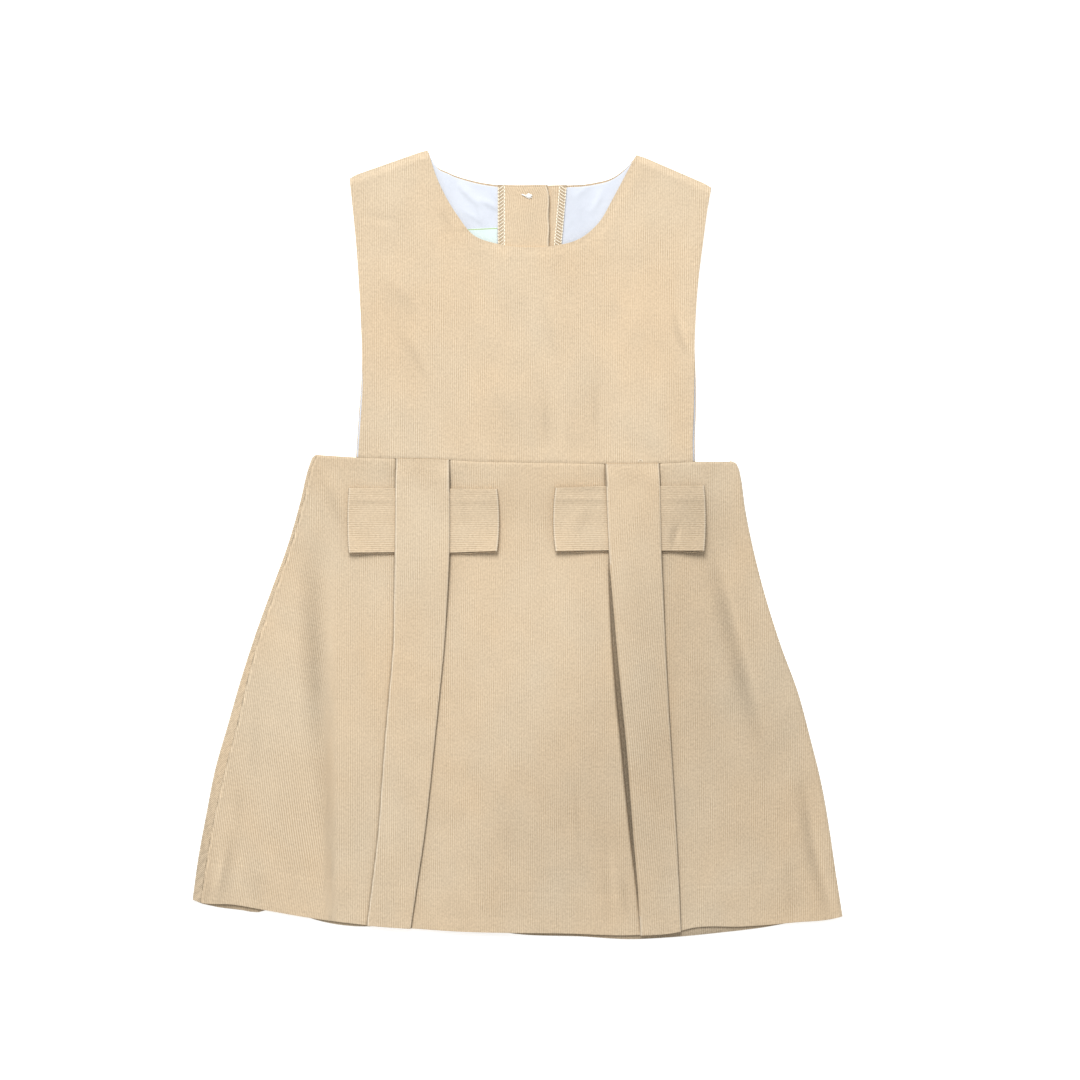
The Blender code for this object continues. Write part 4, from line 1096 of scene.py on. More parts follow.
def stitch(bm, start, end, thickness):
    """Add one stitch of thread, a slim bulge from one point to another."""
    start, end = Vector(start), Vector(end)
    made = bmesh.ops.create_uvsphere(bm, u_segments=STITCH_SIDES, v_segments=STITCH_RINGS, radius=MM / 2)
    turned = (end - start).to_track_quat("Z", "Y").to_matrix().to_4x4()
    sized = Matrix.Diagonal((thickness, thickness, (end - start).length + thickness, 1.0))
    placed = Matrix.Translation((start + end) / 2 * MM)
    bmesh.ops.transform(bm, matrix=placed @ turned @ sized, verts=made["verts"])


# ---------------------------------------------------------------- bodice

def along_outline(outline, share):
    """The point at a share of the way along an outline, by its length."""
    steps = np.hypot(np.diff(outline["x"]), np.diff(outline["y"]))
    reached = np.concatenate(([0.0], np.cumsum(steps)))
    return [curve(reached, outline[axis], share * reached[-1]) for axis in ("x", "y")]


def front_top(share):
    """The front's upper edge: a shoulder, the neckline and the other shoulder."""
    left_share, right_share = NECK_SHARES
    middle = np.clip((share - left_share) / (right_share - left_share), 0, 1)
    left = np.clip(share / left_share, 0, 1)
    right = np.clip((share - right_share) / (1 - right_share), 0, 1)
    point = []
    for axis, neck in enumerate(along_outline(FRONT_NECK, middle)):
        on_left = mix(SHOULDER_LEFT[axis], NECK_LEFT[axis], left)
        on_right = mix(NECK_RIGHT[axis], SHOULDER_RIGHT[axis], right)
        point.append(np.where(share < left_share, on_left, np.where(share > right_share, on_right, neck)))
    return point


def back_top_y(x):
    """The back's upper edge, shoulders and neckline."""
    left, right = (mix(y_1, y_2, (x - x_1) / (x_2 - x_1))
                   for (x_1, y_1), (x_2, y_2) in ((SHOULDER_LEFT, NECK_LEFT), (NECK_RIGHT, SHOULDER_RIGHT)))
    neck = curve(BACK_NECK["x"], BACK_NECK["y"], x)
    return np.where(x <= NECK_LEFT[0], left, np.where(x >= NECK_RIGHT[0], right, neck))


def rounded(x, y):
    """Round off the tips of the shoulders."""
    new_x, new_y = x, y
    for tip_x, tip_y, shift_x, shift_y in zip(*TIPS.values()):
        near = np.exp(-((x - tip_x) ** 2 + (y - tip_y) ** 2) / TIP_REACH ** 2)
        new_x, new_y = new_x + shift_x * near, new_y + shift_y * near
    return new_x, new_y


def peek(y):
    """How far the back shows beyond the front at its sides."""
    return BACK_PEEK * (1 - ramp(y, PEEK_TOP - PEEK_SOFT, PEEK_TOP + PEEK_SOFT))


def side_x(side, y):
    return curve(BODICE_SIDES["y"], BODICE_SIDES[side], y)


def right_facing_edge(y):
    return np.interp(y, RIGHT_FACING_SLANT, (RIGHT_FACING_LOW, RIGHT_FACING_TOP))


def left_facing_edge(y):
    return LEFT_FACING_EDGE + 0.0 * y


def fill_outline(places, ups, low_edge, high_edge, low_side, high_side):
    """Fill a four-sided outline with rows that follow its edges, in columns spaced like these places."""
    shares = (places - places[0]) / (places[-1] - places[0])
    low, high = low_edge(shares), high_edge(shares)
    first, last = low_side(ups), high_side(ups)
    u, up = np.meshgrid(shares, ups)
    filled = []
    for axis in (0, 1):
        edges = mix(low[axis][None, :], high[axis][None, :], up)
        sides = mix(first[axis][:, None], last[axis][:, None], u)
        corners = mix(mix(low[axis][0], low[axis][-1], u), mix(high[axis][0], high[axis][-1], u), up)
        filled.append(edges + sides - corners)
    return rounded(*filled)


def make_front_bodice(material, loop):
    def low_edge(u):
        x = mix(LOW_LEFT, LOW_RIGHT, u)
        return x, waist_y(x) + SEAM_ROOM

    def side(name, end, shoulder):
        def line(up):
            y = mix(low_edge(end)[1], shoulder[1], up)
            return side_x(name, y), y
        return line

    corners = [mix(LOW_LEFT, LOW_RIGHT, share) for share in NECK_SHARES]
    folded = [SKIRT[name][0] for name in PLEAT_EDGES]
    places = spans(
        LOW_LEFT, (folded[0] - BODICE_STEP, 16), (folded[0] + BODICE_STEP, 6), (corners[0], 12),
        (folded[1] - BODICE_STEP, 10), (folded[1] + BODICE_STEP, 6), (folded[2] - BODICE_STEP, 60),
        (folded[2] + BODICE_STEP, 6), (corners[1], 12), (folded[3] - BODICE_STEP, 8),
        (folded[3] + BODICE_STEP, 6), (LOW_RIGHT, 14),
    )
    x, y = fill_outline(places, spans(0.0, *BODICE_ROWS), low_edge, front_top,
                        side("left", 0, SHOULDER_LEFT), side("right", 1, SHOULDER_RIGHT))
    points = np.stack((x, y, front_bodice_height(x, y)), axis=2)
    return cloth("front_bodice", points, x, y, material)


def half_edges(side, inner, room, top_y, inset):
    """The lower, upper and outer edges of a half of the back, or of its lining."""
    toward, _, _, _, shoulder = HALVES[side]

    def low_edge(u):
        x = mix(BODICE_SIDES[side][0], inner, u)
        return x, waist_y(x) + room

    def high_edge(u):
        x = mix(shoulder[0], inner, u)
        return x, top_y(x)

    def outer_line(up):
        y = mix(low_edge(0)[1], high_edge(0)[1], up)
        return side_x(side, y) + toward * (inset - peek(y)), y

    return low_edge, high_edge, outer_line


def make_back_half(side, columns, facing_places, height, facing_height, facing_edge, material, threads):
    """A back half with its facing turned in round the folded edge of the placket."""
    toward, fold, _, corner, shoulder = HALVES[side]
    turn_x = fold - toward * FOLD_IN
    edges = half_edges(side, turn_x, SEAM_ROOM, back_top_y, 0.0)

    def fold_line(up):
        low, high = (edge(1)[1] for edge in edges[:2])
        y = mix(low, high, up)
        drawn_in = PLACKET_DRAWN_IN * ramp(y, high - PLACKET_DRAWN_DEPTH, high)
        return turn_x - toward * drawn_in + PLACKET_WAVE * np.sin(2 * pi * y / PLACKET_WAVE_PITCH), y

    ups = spans(0.0, *BACK_HALF_ROWS)
    x, y = fill_outline(spans(shoulder[0], (corner[0], 24), *columns, (turn_x, 8)), ups, *edges, fold_line)
    half = np.stack((x, y, height(x, y)), axis=2)

    def y_at(x):
        return mix(waist_y(x) + SEAM_ROOM, back_top_y(x), ups[:, None])

    start, heights = fold_line(ups)
    cut = facing_edge(heights)
    folded = Section(y_at)
    folded.turn(start, height, facing_height, toward)
    for stop, steps in facing_places:
        folded.run(start, np.full(ups.shape, stop), steps, facing_height)
        start = np.full(ups.shape, stop)
    folded.run(start, cut + toward * OVERLOCK_WIDTH, 3, facing_height)
    folded.run(cut + toward * OVERLOCK_WIDTH, cut, 6, facing_height, last=True)
    points = np.concatenate((half[:, :-1], folded.grid()), axis=1)
    turned = half.shape[1] - 1
    x, y = plan(points)
    across = lengths(points, 1)
    to_cut = across[:, -1:] - across
    # painted shade under the overlock stitches, and on the rim of the back neck
    tone = OVERLOCK_SHADE * (1 - ramp(to_cut, OVERLOCK_WIDTH, OVERLOCK_WIDTH + OVERLOCK_FADE))
    tone[:, :turned] = NECK_RIM_SHADE * (1 - ramp((back_top_y(x) - y)[:, :turned], 0.0, NECK_RIM))
    across[:, :turned] = x[:, :turned]
    return cloth(f"back_bodice_{side}", points, across, y, material,
                 ((0, None, False), (turned, turned, True)), tone=tone)


def make_lining(side, columns, half_height, material):
    toward, _, inner, corner, shoulder = HALVES[side]

    def top_y(x):
        past_corner = ramp(toward * (x - corner[0]), *LINING_CORNER)
        return back_top_y(x) - mix(LINING_SHOULDER, LINING_NECK, past_corner)

    edges = half_edges(side, inner, GAP, top_y, LINING_INSET)

    def inner_line(up):
        return np.full(up.shape, inner), mix(*(edge(1)[1] for edge in edges[:2]), up)

    x, y = fill_outline(spans(shoulder[0], (corner[0], 16), *columns, (inner, 6)),
                        spans(0.0, *LINING_ROWS), *edges, inner_line)
    points = np.stack((x, y, lining_height(half_height, x, y)), axis=2)
    return cloth(f"back_lining_{side}", points, x, y, material, thickness=LINING)


def make_label(material):
    low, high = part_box("label")
    x, y = np.meshgrid(spans(low.x / MM, (CLIMB_START, 20), (high.x / MM, 6)),
                       spans(low.y / MM, (high.y / MM, 30)))
    along = y
    y = y + LABEL_TILT * (x - high.x / MM)
    z = lining_height(left_half_height, x, y) + (LINING + LABEL) / 2 + LABEL_ROOM
    return cloth("label", np.stack((x, y, z), axis=2), x, along, material, thickness=LABEL)


# ---------------------------------------------------------------- skirt

def front_y(x, down):
    return mix(waist_y(x) - SEAM_ROOM, hem_y(x), down)


def back_y(x, down):
    return mix(waist_y(x) - SEAM_ROOM, curve(BACK_HEM["x"], BACK_HEM["y"], x), down)


def add_pleat(section, left, right, face, upright):
    """A box pleat: in under its face, out, across and back the same way."""
    middle = mix(left, right, 0.5)

    def inner(side):
        x = (middle + side * PLEAT_MIDDLE_GAP / 2)[:, None]
        y = section.y_at(x)
        reach = fold_reach((return_height(x, y) - under_pleat(x, y)) / 2)
        return (x + side * (reach + CLOTH / 2))[:, 0]

    left_in, right_in = inner(-1), inner(1)
    left_out, right_out = left + FOLD_IN, right - FOLD_IN
    section.turn(left_in, under_pleat, return_height, 1)
    section.run(left_in, left_out, RETURN_STEPS, return_height)
    section.count_ribs(FOLD_STEPS + (FACE_STEPS // 2 if upright else 0), upright)
    section.turn(left_out, return_height, face, -1)
    section.run(left_out, right_out, FACE_STEPS, face)
    section.turn(right_out, return_height, face, 1, up=False)
    section.run(right_out, right_in, RETURN_STEPS, return_height)
    section.turn(right_in, under_pleat, return_height, -1, up=False)


def lean_of_ribs(x, y):
    """How far the left panel's ribs have swung over by each place."""
    low = np.maximum(LEAN_TOP - y, 0.0)
    share = mix(LEAN_NEAR, LEAN_FAR, np.clip((LEAN_TROUGH - x) / LEAN_WIDTH, 0, 1))
    return low * share * (1 - ramp(x, LEAN_TROUGH, LEAN_TROUGH + LEAN_STEP))


def make_front_skirt(material):
    down = spans(0.0, *SKIRT_ROWS)
    section = Section(lambda x: front_y(x, down[:, None]))
    folded = [skirt_x(name, down) for name in PLEAT_EDGES]
    inner_reach = PLEAT_MIDDLE_GAP / 2 + FOLD_IN
    seam = skirt_x("left", down) + skirt_x("roll", down) + SEAM_ROOM
    turn_x = skirt_x("right", down) - FOLD_IN
    panel, step = shown_panel_height, PANEL_STEP
    gap = curve(MOUTH["y"], MOUTH["gap"], front_y(folded[2], down))
    brink, foot = folded[2] - gap - MOUTH_ROUND, folded[2] - MOUTH_FOOT * gap
    shaded = {}

    def step_down(number):
        """Run past the edge of a pleat, where the panel lies in its shade."""
        shaded[PLEAT_EDGES[number]] = slice(section.columns() + 1, section.columns() + SHADE_STEPS)
        section.run(folded[number] - step, folded[number] + step, SHADE_STEPS, panel)

    def pass_pleat(number, face, upright, ribs):
        """Run on under a pleat, fold it and run out from under it; from there, count the ribs anew."""
        left, right = folded[number:number + 2]
        middle = mix(left, right, 0.5)
        section.run(left + step, middle - inner_reach, UNDER_STEPS, under_pleat)
        add_pleat(section, left, right, face, upright)
        section.count_ribs(ribs)
        section.run(middle + inner_reach, right - step, UNDER_STEPS, under_pleat)
        step_down(number + 1)

    section.count_ribs(PANEL_RIBS["left"])
    section.run(seam, seam + SEAM_STRIP, PANEL_STEPS["seam"], panel)
    section.run(seam + SEAM_STRIP, folded[0] - step, PANEL_STEPS["left"], panel)
    step_down(0)
    pass_pleat(0, face_height, True, PANEL_RIBS["centre"])
    section.run(folded[1] + step, brink - MOUTH_STRIP, PANEL_STEPS["centre"], panel)
    section.run(brink - MOUTH_STRIP, brink, MOUTH_STEPS[0], panel)
    mouth_from = section.columns()
    section.run(brink, foot, MOUTH_STEPS[1], panel)
    section.run(foot, folded[2] + step, MOUTH_STEPS[2], panel)
    mouth = np.arange(section.columns() - mouth_from)
    pass_pleat(2, open_face_height, False, PANEL_RIBS["right"])
    section.run(folded[3] + step, turn_x, PANEL_STEPS["right"], panel)
    section.turn(turn_x, back_height, panel, 1, up=False)
    section.run(turn_x, turn_x - SEAM_UNDER, PANEL_STEPS["under"], back_height, last=True)
    points = section.grid()
    across = lengths(points, 1) - lean_of_ribs(*plan(points))
    # painted shade in the second pleat's open mouth and beside the pleats' edges, painted shade and
    # highlight at the left side seam, and painted shade along the sides
    tone = np.zeros(points.shape[:2])
    tone[:, mouth_from + mouth] = mix(*MOUTH_DARK, ramp(mouth, 0, MOUTH_DARK_COLUMNS))
    tone *= np.minimum(gap, 1.0)[:, None]
    for name, columns in shaded.items():
        tone[:, columns] = PLEAT_SHADE[name]
    tone += seam_shading(*plan(points)) + side_shading(*plan(points))
    return cloth("front_skirt", points, across, lengths(points, 0), material, section.ribs,
                 tone=tone)


def make_back_skirt(material):
    down = spans(0.0, *BACK_SKIRT_ROWS)
    turn_x = skirt_x("left", down) + FOLD_IN
    seam = skirt_x("left", down) + skirt_x("roll", down) - SEAM_ROOM
    under = skirt_x("right", down) - FOLD_IN - SEAM_UNDER - SEAM_ROOM
    section = Section(lambda x: front_y(x, down[:, None]))
    section.run(seam, turn_x, PANEL_STEPS["back_roll"], panel_height)
    section.turn(turn_x, back_height, panel_height, -1, up=False)
    strip = section.columns()
    bottom = Section(lambda x: back_y(x, down[:, None]))
    bottom.run(turn_x, under, PANEL_STEPS["back"], back_height, last=True)
    points = np.concatenate((section.grid(), bottom.grid()), axis=1)
    x, y = plan(points)
    across = lengths(points, 1)
    across[:, :strip] += y[:, :strip]
    along = lengths(points, 0)
    # painted shadow on the back's hem under the front's, bands of painted light and shade along the rolled
    # strip, and painted shade along the side
    tone = HEM_SHADE * (1 - ramp(along[-1:] - along, 0.0, HEM_SHADE_DEPTH))
    tone[:, :strip] = ROPE_SHADING * np.sin(2 * pi * (x + y)[:, :strip] / ROPE_PITCH)
    tone += side_shading(x, y)
    clear = ROPE_CLEAR * (np.arange(points.shape[1]) < strip)
    return cloth("back_skirt", points, across, along, material,
                 ((0, None, False), (strip, strip + PANEL_RIBS["back"], True)), tone=tone, clear=clear)


def make_wing(name, edge, side, outer, bow, top_in, top_out, low_in, low_out, lift, material):
    """A wing of a bow: a band that comes out of the pleat, folds back at its end and goes in again."""
    middle = mix(top_in, low_in, 0.5)
    pleat_edge = float(edge_beside(edge, np.array(outer), np.array(middle)))
    inner = pleat_edge - side * WING_TUCK
    share = spans(0.0, *WING_ROWS)
    end = outer + side * bow * 4 * share * (1 - share) - side * FOLD_IN

    def y_at(x):
        out = (x - inner) / (end[:, None] - inner)
        return mix(mix(top_in, top_out, out), mix(low_in, low_out, out), share[:, None])

    def under_layer(x, y):
        free = ramp(side * (x - pleat_edge), WING_FLAT, abs(outer - pleat_edge))
        return panel_height(x, y) + LAYER + lift * free * share[:, None] ** WING_LIFT_POWER

    def upper_layer(x, y):
        return under_layer(x, y) + LAYER + creases(WING_CREASES, x, y)

    starts = np.full(share.shape, inner)
    section = Section(y_at)
    section.run(starts, end, WING_UNDER_STEPS, under_layer)
    section.turn(end, under_layer, upper_layer, side)
    section.run(end, starts, WING_UPPER_STEPS, upper_layer, last=True)
    points = section.grid()
    along = lengths(points, 1)
    under = 1 - ramp(np.arange(points.shape[1]), WING_PEEK_FROM, WING_UNDER_STEPS + FOLD_STEPS)
    wavy = 1 + WING_PEEK_WAVE * np.sin(2 * pi * points[:, :, 0] / WING_PEEK_PITCH)
    ribs = points[:, :, 1].copy()
    points[:, :, 1] -= WING_PEEK * ramp(share, WING_PEEK_TOP, 1.0)[:, None] * under * wavy
    above_edge = lengths(points, 0)
    above_edge = above_edge[-1:] - above_edge
    # a painted highlight along the band's lower edges, and painted shade on its under layer above that, in
    # the gap below the upper layer
    pale = BAND_HIGHLIGHT * (1 - ramp(above_edge, 0.0, BAND_RIM))
    dark = BAND_SHADE * ramp(above_edge, BAND_RIM / 2, BAND_RIM) * (under > 0.5)
    return cloth(name, points, ribs, along, material,
                 tone=pale + dark)


# ---------------------------------------------------------------- threads and buttons

def make_overlock(side, facing_edge, facing_height, material):
    """The overlocked edge of a facing: slanting stitches with a looped thread along each end."""
    toward, step = HALVES[side][0], OVERLOCK_PITCH[side]
    bm = bmesh.new()
    low, high = waist_y(0.0) + OVERLOCK_END_LOW, BACK_NECK["y"].min() - OVERLOCK_END_HIGH
    for y in np.linspace(low, high, int((high - low) / step), endpoint=False):
        places = [(facing_edge(y) + toward * away, y + up * step) for away, up in OVERLOCK_CORNERS]
        points = [(x, at, facing_height(x, at) + CLOTH / 2 + OVERLOCK_THREAD / 4) for x, at in places]
        stitch(bm, points[0], points[1], OVERLOCK_THREAD)
        stitch(bm, points[1], points[2], OVERLOCK_KNOT)
        stitch(bm, points[0], points[3], OVERLOCK_THREAD)
    return add_piece(f"overlock_{side}", bm, material)


def make_knot(material):
    """The knot that holds the top button on, with its cut tail."""
    bm = bmesh.new()
    for x_1, y_1, x_2, y_2 in zip(*KNOT.values()):
        ends = [(x, y, left_facing_height(x, y) + CLOTH / 2 + KNOT_THREAD / 2)
                for x, y in ((BUTTON_X + x_1, KNOT_Y + y_1), (BUTTON_X + x_2, KNOT_Y + y_2))]
        stitch(bm, *ends, KNOT_THREAD)
    return add_piece("button_knot", bm, material)


def make_loop(material):
    """A small loop of thread left standing where the seams cross above the second pleat."""
    x, y = LOOP
    angles = np.linspace(pi, 0, LOOP_POINTS)
    at_x, at_y = x + LOOP_RADIUS * np.cos(angles), y + LOOP_RADIUS * np.sin(angles)
    points = np.stack((at_x, at_y, front_bodice_height(at_x, at_y) + CLOTH / 2 + LOOP_THREAD), axis=1)
    bm = bmesh.new()
    for start, end in zip(points, points[1:]):
        stitch(bm, start, end, LOOP_THREAD)
    return add_piece("waist_thread", bm, material)


def make_buttonholes(material):
    """Two close rows of stitches round each slit, on the outside of the back."""
    bm = bmesh.new()
    first, last = BUTTONHOLE
    for name in BUTTONS:
        low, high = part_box(name)
        middle = (low.y + high.y) / 2 / MM
        for x in np.arange(first, last, BUTTONHOLE_PITCH):
            z = right_half_height(x, middle) - CLOTH / 2 - BUTTONHOLE_THREAD / 4
            for side in (-1, 1):
                ends = [(x, middle + side * away, z) for away in (BUTTONHOLE_SLIT, BUTTONHOLE_EDGE)]
                stitch(bm, *ends, BUTTONHOLE_THREAD)
    return add_piece("buttonholes", bm, material)


def add_plate(bm, circles, low, high):
    """Add a flat plate between two heights: the first circle is its outline, and the rest are its holes."""
    edges = []
    for x, y, radius in circles:
        sides = BUTTON_SIDES if radius > BUTTON_HOLE else BUTTON_SIDES // 2
        made = bmesh.ops.create_circle(bm, segments=sides, radius=radius * MM,
                                       matrix=Matrix.Translation((x * MM, y * MM, low * MM)))
        edges += {edge for vert in made["verts"] for edge in vert.link_edges}
    filled = bmesh.ops.triangle_fill(bm, use_beauty=True, edges=edges)
    faces = [item for item in filled["geom"] if isinstance(item, bmesh.types.BMFace)]
    raised = bmesh.ops.extrude_face_region(bm, geom=faces, use_keep_orig=True)
    verts = [item for item in raised["geom"] if isinstance(item, bmesh.types.BMVert)]
    bmesh.ops.translate(bm, verts=verts, vec=(0, 0, (high - low) * MM))


def make_button(name, material, thread):
    """A button with four holes and a raised rim, which faces down, sewn on with two rows of thread."""
    low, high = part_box(name)
    x, y = (low.x + high.x) / 2 / MM, (low.y + high.y) / 2 / MM
    radius, bottom, top = (high.x - low.x) / 2 / MM, low.z / MM, high.z / MM
    holes = [(x + side * BUTTON_HOLE_PITCH, y + end * BUTTON_HOLE_PITCH, BUTTON_HOLE)
             for side in (-1, 1) for end in (-1, 1)]
    bm = bmesh.new()
    add_plate(bm, [(x, y, radius - BUTTON_RIM / 2), *holes], bottom + BUTTON_DISH, top - BUTTON_DISH / 4)
    add_plate(bm, [(x, y, radius), (x, y, radius - BUTTON_RIM)], bottom, top)
    bmesh.ops.recalc_face_normals(bm, faces=bm.faces)
    button = add_piece(f"{name}_disc", bm, material)
    round_edges(button, BUTTON_ROUND, 3, pi / 4)
    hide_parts(name)

    bm = bmesh.new()
    face = bottom + BUTTON_DISH
    for hole_x, hole_y, _ in holes:
        stitch(bm, (hole_x, hole_y, face), (hole_x, hole_y, top + GAP), BUTTON_THREAD)
    for row in (x - BUTTON_HOLE_PITCH, x + BUTTON_HOLE_PITCH):
        stitch(bm, (row, y - BUTTON_HOLE_PITCH, face), (row, y + BUTTON_HOLE_PITCH, face), BUTTON_THREAD)
    return add_piece(f"{name}_thread", bm, thread)


# ---------------------------------------------------------------- finishes

def linear(code):
    """Turn an sRGB hex colour into linear red, green, blue and alpha."""
    parts = [int(code[i:i + 2], 16) / 255 for i in (1, 3, 5)]
    return [c / 12.92 if c <= 0.04045 else ((c + 0.055) / 1.055) ** 2.4 for c in parts] + [1.0]


class Look:
    """A material in the making, with short ways to add its nodes.

    Its textures lie along the grain of a cloth, or else in the space of its object.
    """

    def __init__(self, name, on_cloth=True):
        self.material = bpy.data.materials.new(name)
        self.material.use_nodes = True
        self.tree = self.material.node_tree
        if on_cloth:
            self.place = self.add("UVMap", uv_map="grain").outputs["UV"]
        else:
            self.place = self.add("TexCoord").outputs["Object"]

    def feed(self, node, inputs):
        """Set a node's inputs to values, or link them to the sockets that feed them."""
        for name, value in inputs.items():
            if isinstance(value, bpy.types.NodeSocket):
                self.tree.links.new(value, node.inputs[name])
            else:
                node.inputs[name].default_value = value

    def add(self, kind, inputs=None, **settings):
        node = self.tree.nodes.new(f"ShaderNode{kind}")
        for name, value in settings.items():
            setattr(node, name, value)
        self.feed(node, inputs or {})
        return node

    def finish(self, inputs):
        self.feed(self.tree.nodes["Principled BSDF"], inputs)
        return self.material

    def axes(self):
        """How far across the ribs and how far along them a place is."""
        return self.add("SeparateXYZ", {0: self.place}).outputs

    def noise(self, name):
        across, along, detail, roughness = NOISE[name]
        stretched = self.add("VectorMath", {0: self.place, 1: (across, along, 1.0)}, operation="MULTIPLY")
        return self.add("TexNoise", {"Vector": stretched.outputs[0], "Scale": 1.0, "Detail": detail,
                                     "Roughness": roughness}).outputs["Fac"]

    def math(self, operation, *values):
        return self.add("Math", dict(enumerate(values)), operation=operation).outputs[0]

    def between(self, value, low, high, to_low=0.0, to_high=1.0):
        return self.add("MapRange", {"Value": value, "From Min": low, "From Max": high, "To Min": to_low,
                                     "To Max": to_high}).outputs[0]

    def blend(self, share, first, second, kind="MIX"):
        return self.add("Mix", {"Factor": share, "A": first, "B": second}, data_type="RGBA",
                        blend_type=kind).outputs["Result"]

    def bump(self, height, strength, distance, over=None):
        """The normal of a relief of so many millimetres, laid over another one's."""
        inputs = {"Height": height, "Strength": strength, "Distance": distance * MM}
        if over is not None:
            inputs["Normal"] = over
        return self.add("Bump", inputs).outputs["Normal"]


def make_needlecord():
    """Cotton needlecord: a velvet pile cut in fine ribs, so it is matt, with pale rib tops and warmer
    valleys painted darker with the shade between them. The pile lies unevenly, which blurs the ribs in
    patches; painted shade and painted light lie on its folds and pieces. The ribs are drawn at their true
    width."""
    look = Look("brushed_cotton_needlecord")
    math, between, blend, noise = look.math, look.between, look.blend, look.noise
    edge, fold, nap, clear = (look.add("Attribute", attribute_name=name).outputs["Fac"]
                              for name in ("edge", "fold", "nap", "clear"))

    wander = math("MULTIPLY", math("SUBTRACT", noise("wander"), 0.5), RIB_WANDER)
    phase = math("ADD", math("MULTIPLY", look.axes()["X"], pi / (WALE * MM)), wander)
    rib = math("ABSOLUTE", math("SINE", phase))
    seen = math("MULTIPLY", between(noise("worn"), *WORN_RANGE), between(noise("blurred"), *BLURRED_RANGE))
    seen = math("MAXIMUM", seen, math("ADD", math("MULTIPLY", seen, 0.5), clear))
    rib = math("ADD", RIB_MEAN, math("MULTIPLY", math("SUBTRACT", rib, RIB_MEAN), seen))
    pile, speckle = noise("pile"), noise("speckle")

    # the valleys between the ribs are painted darker, as shade
    cord = blend(rib, *map(linear, CORD_COLOURS))
    patch = blend(between(noise("patch"), *PATCH_RANGE), *map(linear, PATCH_COLOURS))
    # a painted highlight beside each pressed fold, and painted shade on the fold itself that reaches
    # further between the ribs
    rim = between(fold, FOLD_SHADE_REACH * MM, (FOLD_SHADE_REACH + RIM_WIDTH) * MM, 1.0, 0.0)
    serrated = math("ADD", fold, math("MULTIPLY", rib, FOLD_SHADE_RIBS * MM))
    fold_shade = between(serrated, 0.0, (FOLD_SHADE_REACH + FOLD_SHADE_RIBS) * MM, 1.0, 0.0)
    tone = blend(math("MULTIPLY", rim, RIM_SHARE), blend(PATCH_SHARE, cord, patch), linear(RIM_HIGHLIGHT_COLOUR))
    tone = blend(fold_shade, tone, linear(FOLD_SHADE_COLOUR))
    shade = math("ADD", math("MULTIPLY", pile, PILE_SHADE),
                 math("ADD", math("MULTIPLY", speckle, SPECKLE_SHADE),
                      math("MULTIPLY", noise("cloud"), CLOUD_SHADE)))
    # each piece's painted shade and painted light darken or lighten its colour
    shade = math("ADD", between(shade, *SHADE_RANGE), math("MULTIPLY", nap, PAINTED_LIGHT_STRENGTH))

    drawn_in = math("MULTIPLY", noise("drawn"), between(edge, 0.0, SEAM_PUCKER_WIDTH * MM, 1.0, 0.0))
    relief = math("ADD", rib, math("ADD", math("MULTIPLY", pile, PILE_RELIEF),
                                   math("MULTIPLY", speckle, SPECKLE_RELIEF)))
    soft = look.bump(noise("soft"), 0.6, 1.3)
    pucker = look.bump(drawn_in, 0.7, 0.8, soft)
    return look.finish({
        "Base Color": blend(1.0, tone, shade, "MULTIPLY"), "Roughness": 0.95, "Specular IOR Level": 0.1,
        "Sheen Weight": 0.15, "Sheen Roughness": 0.5, "Sheen Tint": linear(SHEEN_COLOUR),
        "Normal": look.bump(relief, 0.5, 0.22, pucker),
    })


def make_lining_cotton():
    """Thin plain-woven cotton lawn, bleached: matt and slightly see-through, so soft little creases stay in
    it. Its weave of 0.3 mm threads is drawn 0.6 mm coarse so that it shows."""
    look = Look("bleached_cotton_lawn")
    warp, weft = (look.math("SINE", look.math("MULTIPLY", look.axes()[axis], 2 * pi / (LAWN_THREAD * MM)))
                  for axis in ("X", "Y"))
    limp = look.bump(look.noise("limp"), 0.7, 0.7)
    return look.finish({
        "Base Color": look.blend(look.between(look.noise("lawn"), *LAWN_RANGE), *map(linear, LAWN_COLOURS)),
        "Roughness": 0.85, "Sheen Weight": 0.1,
        "Normal": look.bump(look.math("MULTIPLY", warp, weft), 0.25, 0.08, limp),
    })


def make_label_ribbon():
    """Woven polyester ribbon, satin: smooth and a little shiny, with fine ribs across and one green line
    woven along its upper edge."""
    look = Look("woven_label_ribbon")
    up = look.axes()["Y"]
    line = look.math("COMPARE", up, LABEL_LINE_Y * MM, LABEL_LINE / 2 * MM)
    ribs = look.math("SINE", look.math("MULTIPLY", up, 2 * pi / (RIBBON_RIB * MM)))
    return look.finish({
        "Base Color": look.blend(line, linear(RIBBON_COLOUR), linear(RIBBON_LINE_COLOUR)),
        "Roughness": 0.45, "Normal": look.bump(ribs, 0.3, 0.06),
    })


def make_mottled(name, texture, settings, colours, inputs):
    """A material of two colours that a texture in the object's space blends."""
    look = Look(name, on_cloth=False)
    pattern = look.add(texture, {"Vector": look.place, **settings}).outputs["Fac"]
    return look.finish({"Base Color": look.blend(pattern, *map(linear, colours)), **inputs})


def make_thread(name):
    """Spun polyester sewing thread: two plies twisted, so it has a slight sheen and a fine twist."""
    return make_mottled(name, "TexWave", {"Scale": 900.0, "Distortion": 2.0}, THREAD_COLOURS[name],
                        {"Roughness": 0.6, "Sheen Weight": 0.2})


def make_resin():
    """Moulded polyester resin, tumbled to a satin: faintly cloudy, with soft highlights."""
    return make_mottled("tumbled_polyester_resin", "TexNoise", {"Scale": 260.0, "Detail": 3.0},
                        RESIN_COLOURS, {"Roughness": 0.32, "Coat Weight": 0.2})


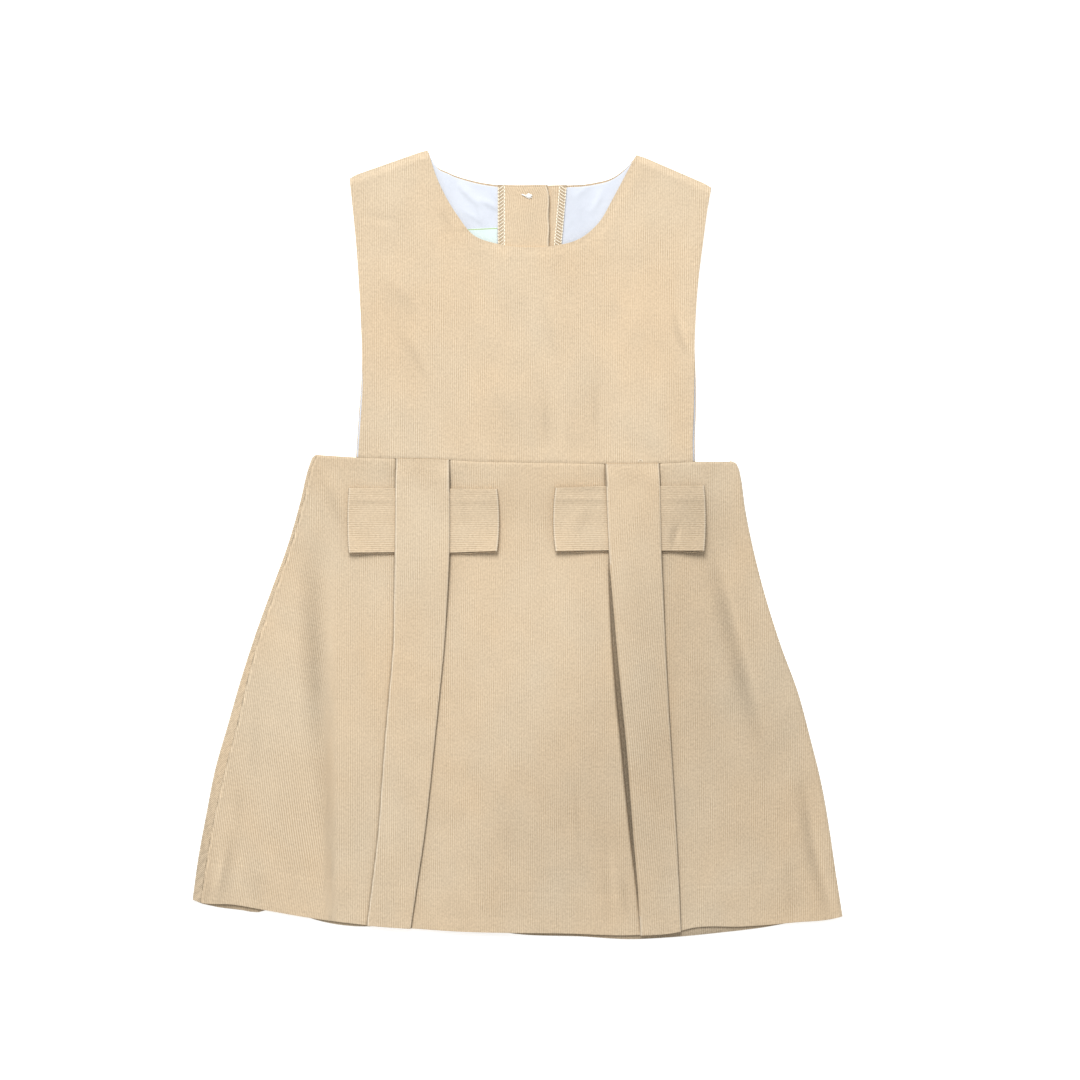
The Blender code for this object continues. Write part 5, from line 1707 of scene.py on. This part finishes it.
def make_floor_paper():
    """White paper on a light table: matt, and lit through, so that nothing on it throws a hard shadow."""
    lit = {"Roughness": 0.9, "Emission Color": linear(WHITE), "Emission Strength": 0.5}
    return make_mottled("lit_white_paper", "TexNoise", {"Scale": 400.0, "Detail": 2.0}, PAPER_COLOURS, lit)


# ---------------------------------------------------------------- studio

def make_studio():
    """A pale floor, soft light from the head of the dress, and a camera straight above it."""
    bm = bmesh.new()
    bmesh.ops.create_grid(bm, x_segments=1, y_segments=1, size=FLOOR_REACH)
    bmesh.ops.translate(bm, verts=bm.verts, vec=(0, 0, CAD_BOX[0].z - FLOOR_DROP * MM))
    floor = add_object("floor", bm, make_floor_paper())

    world = bpy.data.worlds.new("studio")
    world.use_nodes = True
    background = world.node_tree.nodes["Background"]
    background.inputs["Color"].default_value = linear(WHITE)
    background.inputs["Strength"].default_value = WORLD_LIGHT
    bpy.context.scene.world = world

    key = bpy.data.lights.new("key", "AREA")
    key.shape = "DISK"
    key.size = LAMP_SIZE
    key.energy = LAMP_POWER
    lamp = link("key", key)
    lamp.location = LAMP_PLACE
    lamp.rotation_euler = (-lamp.location).to_track_quat("-Z", "Y").to_euler()

    camera = bpy.data.cameras.new("camera")
    camera.lens = LENS
    eye = link("camera", camera)
    eye.location = (EYE[0] * MM, EYE[1] * MM, camera.lens / camera.sensor_width * (PICTURE * PIXEL * MM))
    bpy.context.scene.camera = eye
    bpy.context.scene.view_settings.view_transform = "Standard"


def build():
    cord = make_needlecord()
    lining = make_lining_cotton()
    cream_thread = make_thread("cream_thread")
    white_thread = make_thread("white_thread")
    resin = make_resin()
    left_overlock = make_overlock("left", left_facing_edge, left_facing_height, cream_thread)
    right_overlock = make_overlock("right", right_facing_edge, right_facing_height, cream_thread)
    make_front_bodice(cord, make_loop(cream_thread))
    make_back_half("left", ((CLIMB_START, 20), (CLIMB_END, 14)),
                   ((LEFT_LINING_EDGE + FACING_STEP, 14),),
                   left_half_height, left_facing_height, left_facing_edge, cord,
                   (left_overlock, make_knot(white_thread)))
    make_back_half("right", ((RIGHT_LINING_EDGE, 20),),
                   ((RIGHT_FACING_CLIMB[0], 12), (RIGHT_FACING_CLIMB[1], 4)),
                   right_half_height, right_facing_height, right_facing_edge, cord,
                   (right_overlock, make_buttonholes(cream_thread)))
    make_lining("left", ((CLIMB_START, 44),), left_half_height, lining)
    make_lining("right", ((RIGHT_LINING_EDGE + LINING_LAST, 44),), right_half_height, lining)
    make_label(make_label_ribbon())
    make_front_skirt(cord)
    make_back_skirt(cord)
    for wing in WINGS:
        make_wing(*wing, cord)
    for name in BUTTONS:
        make_button(name, resin, white_thread)
    make_studio()


build()
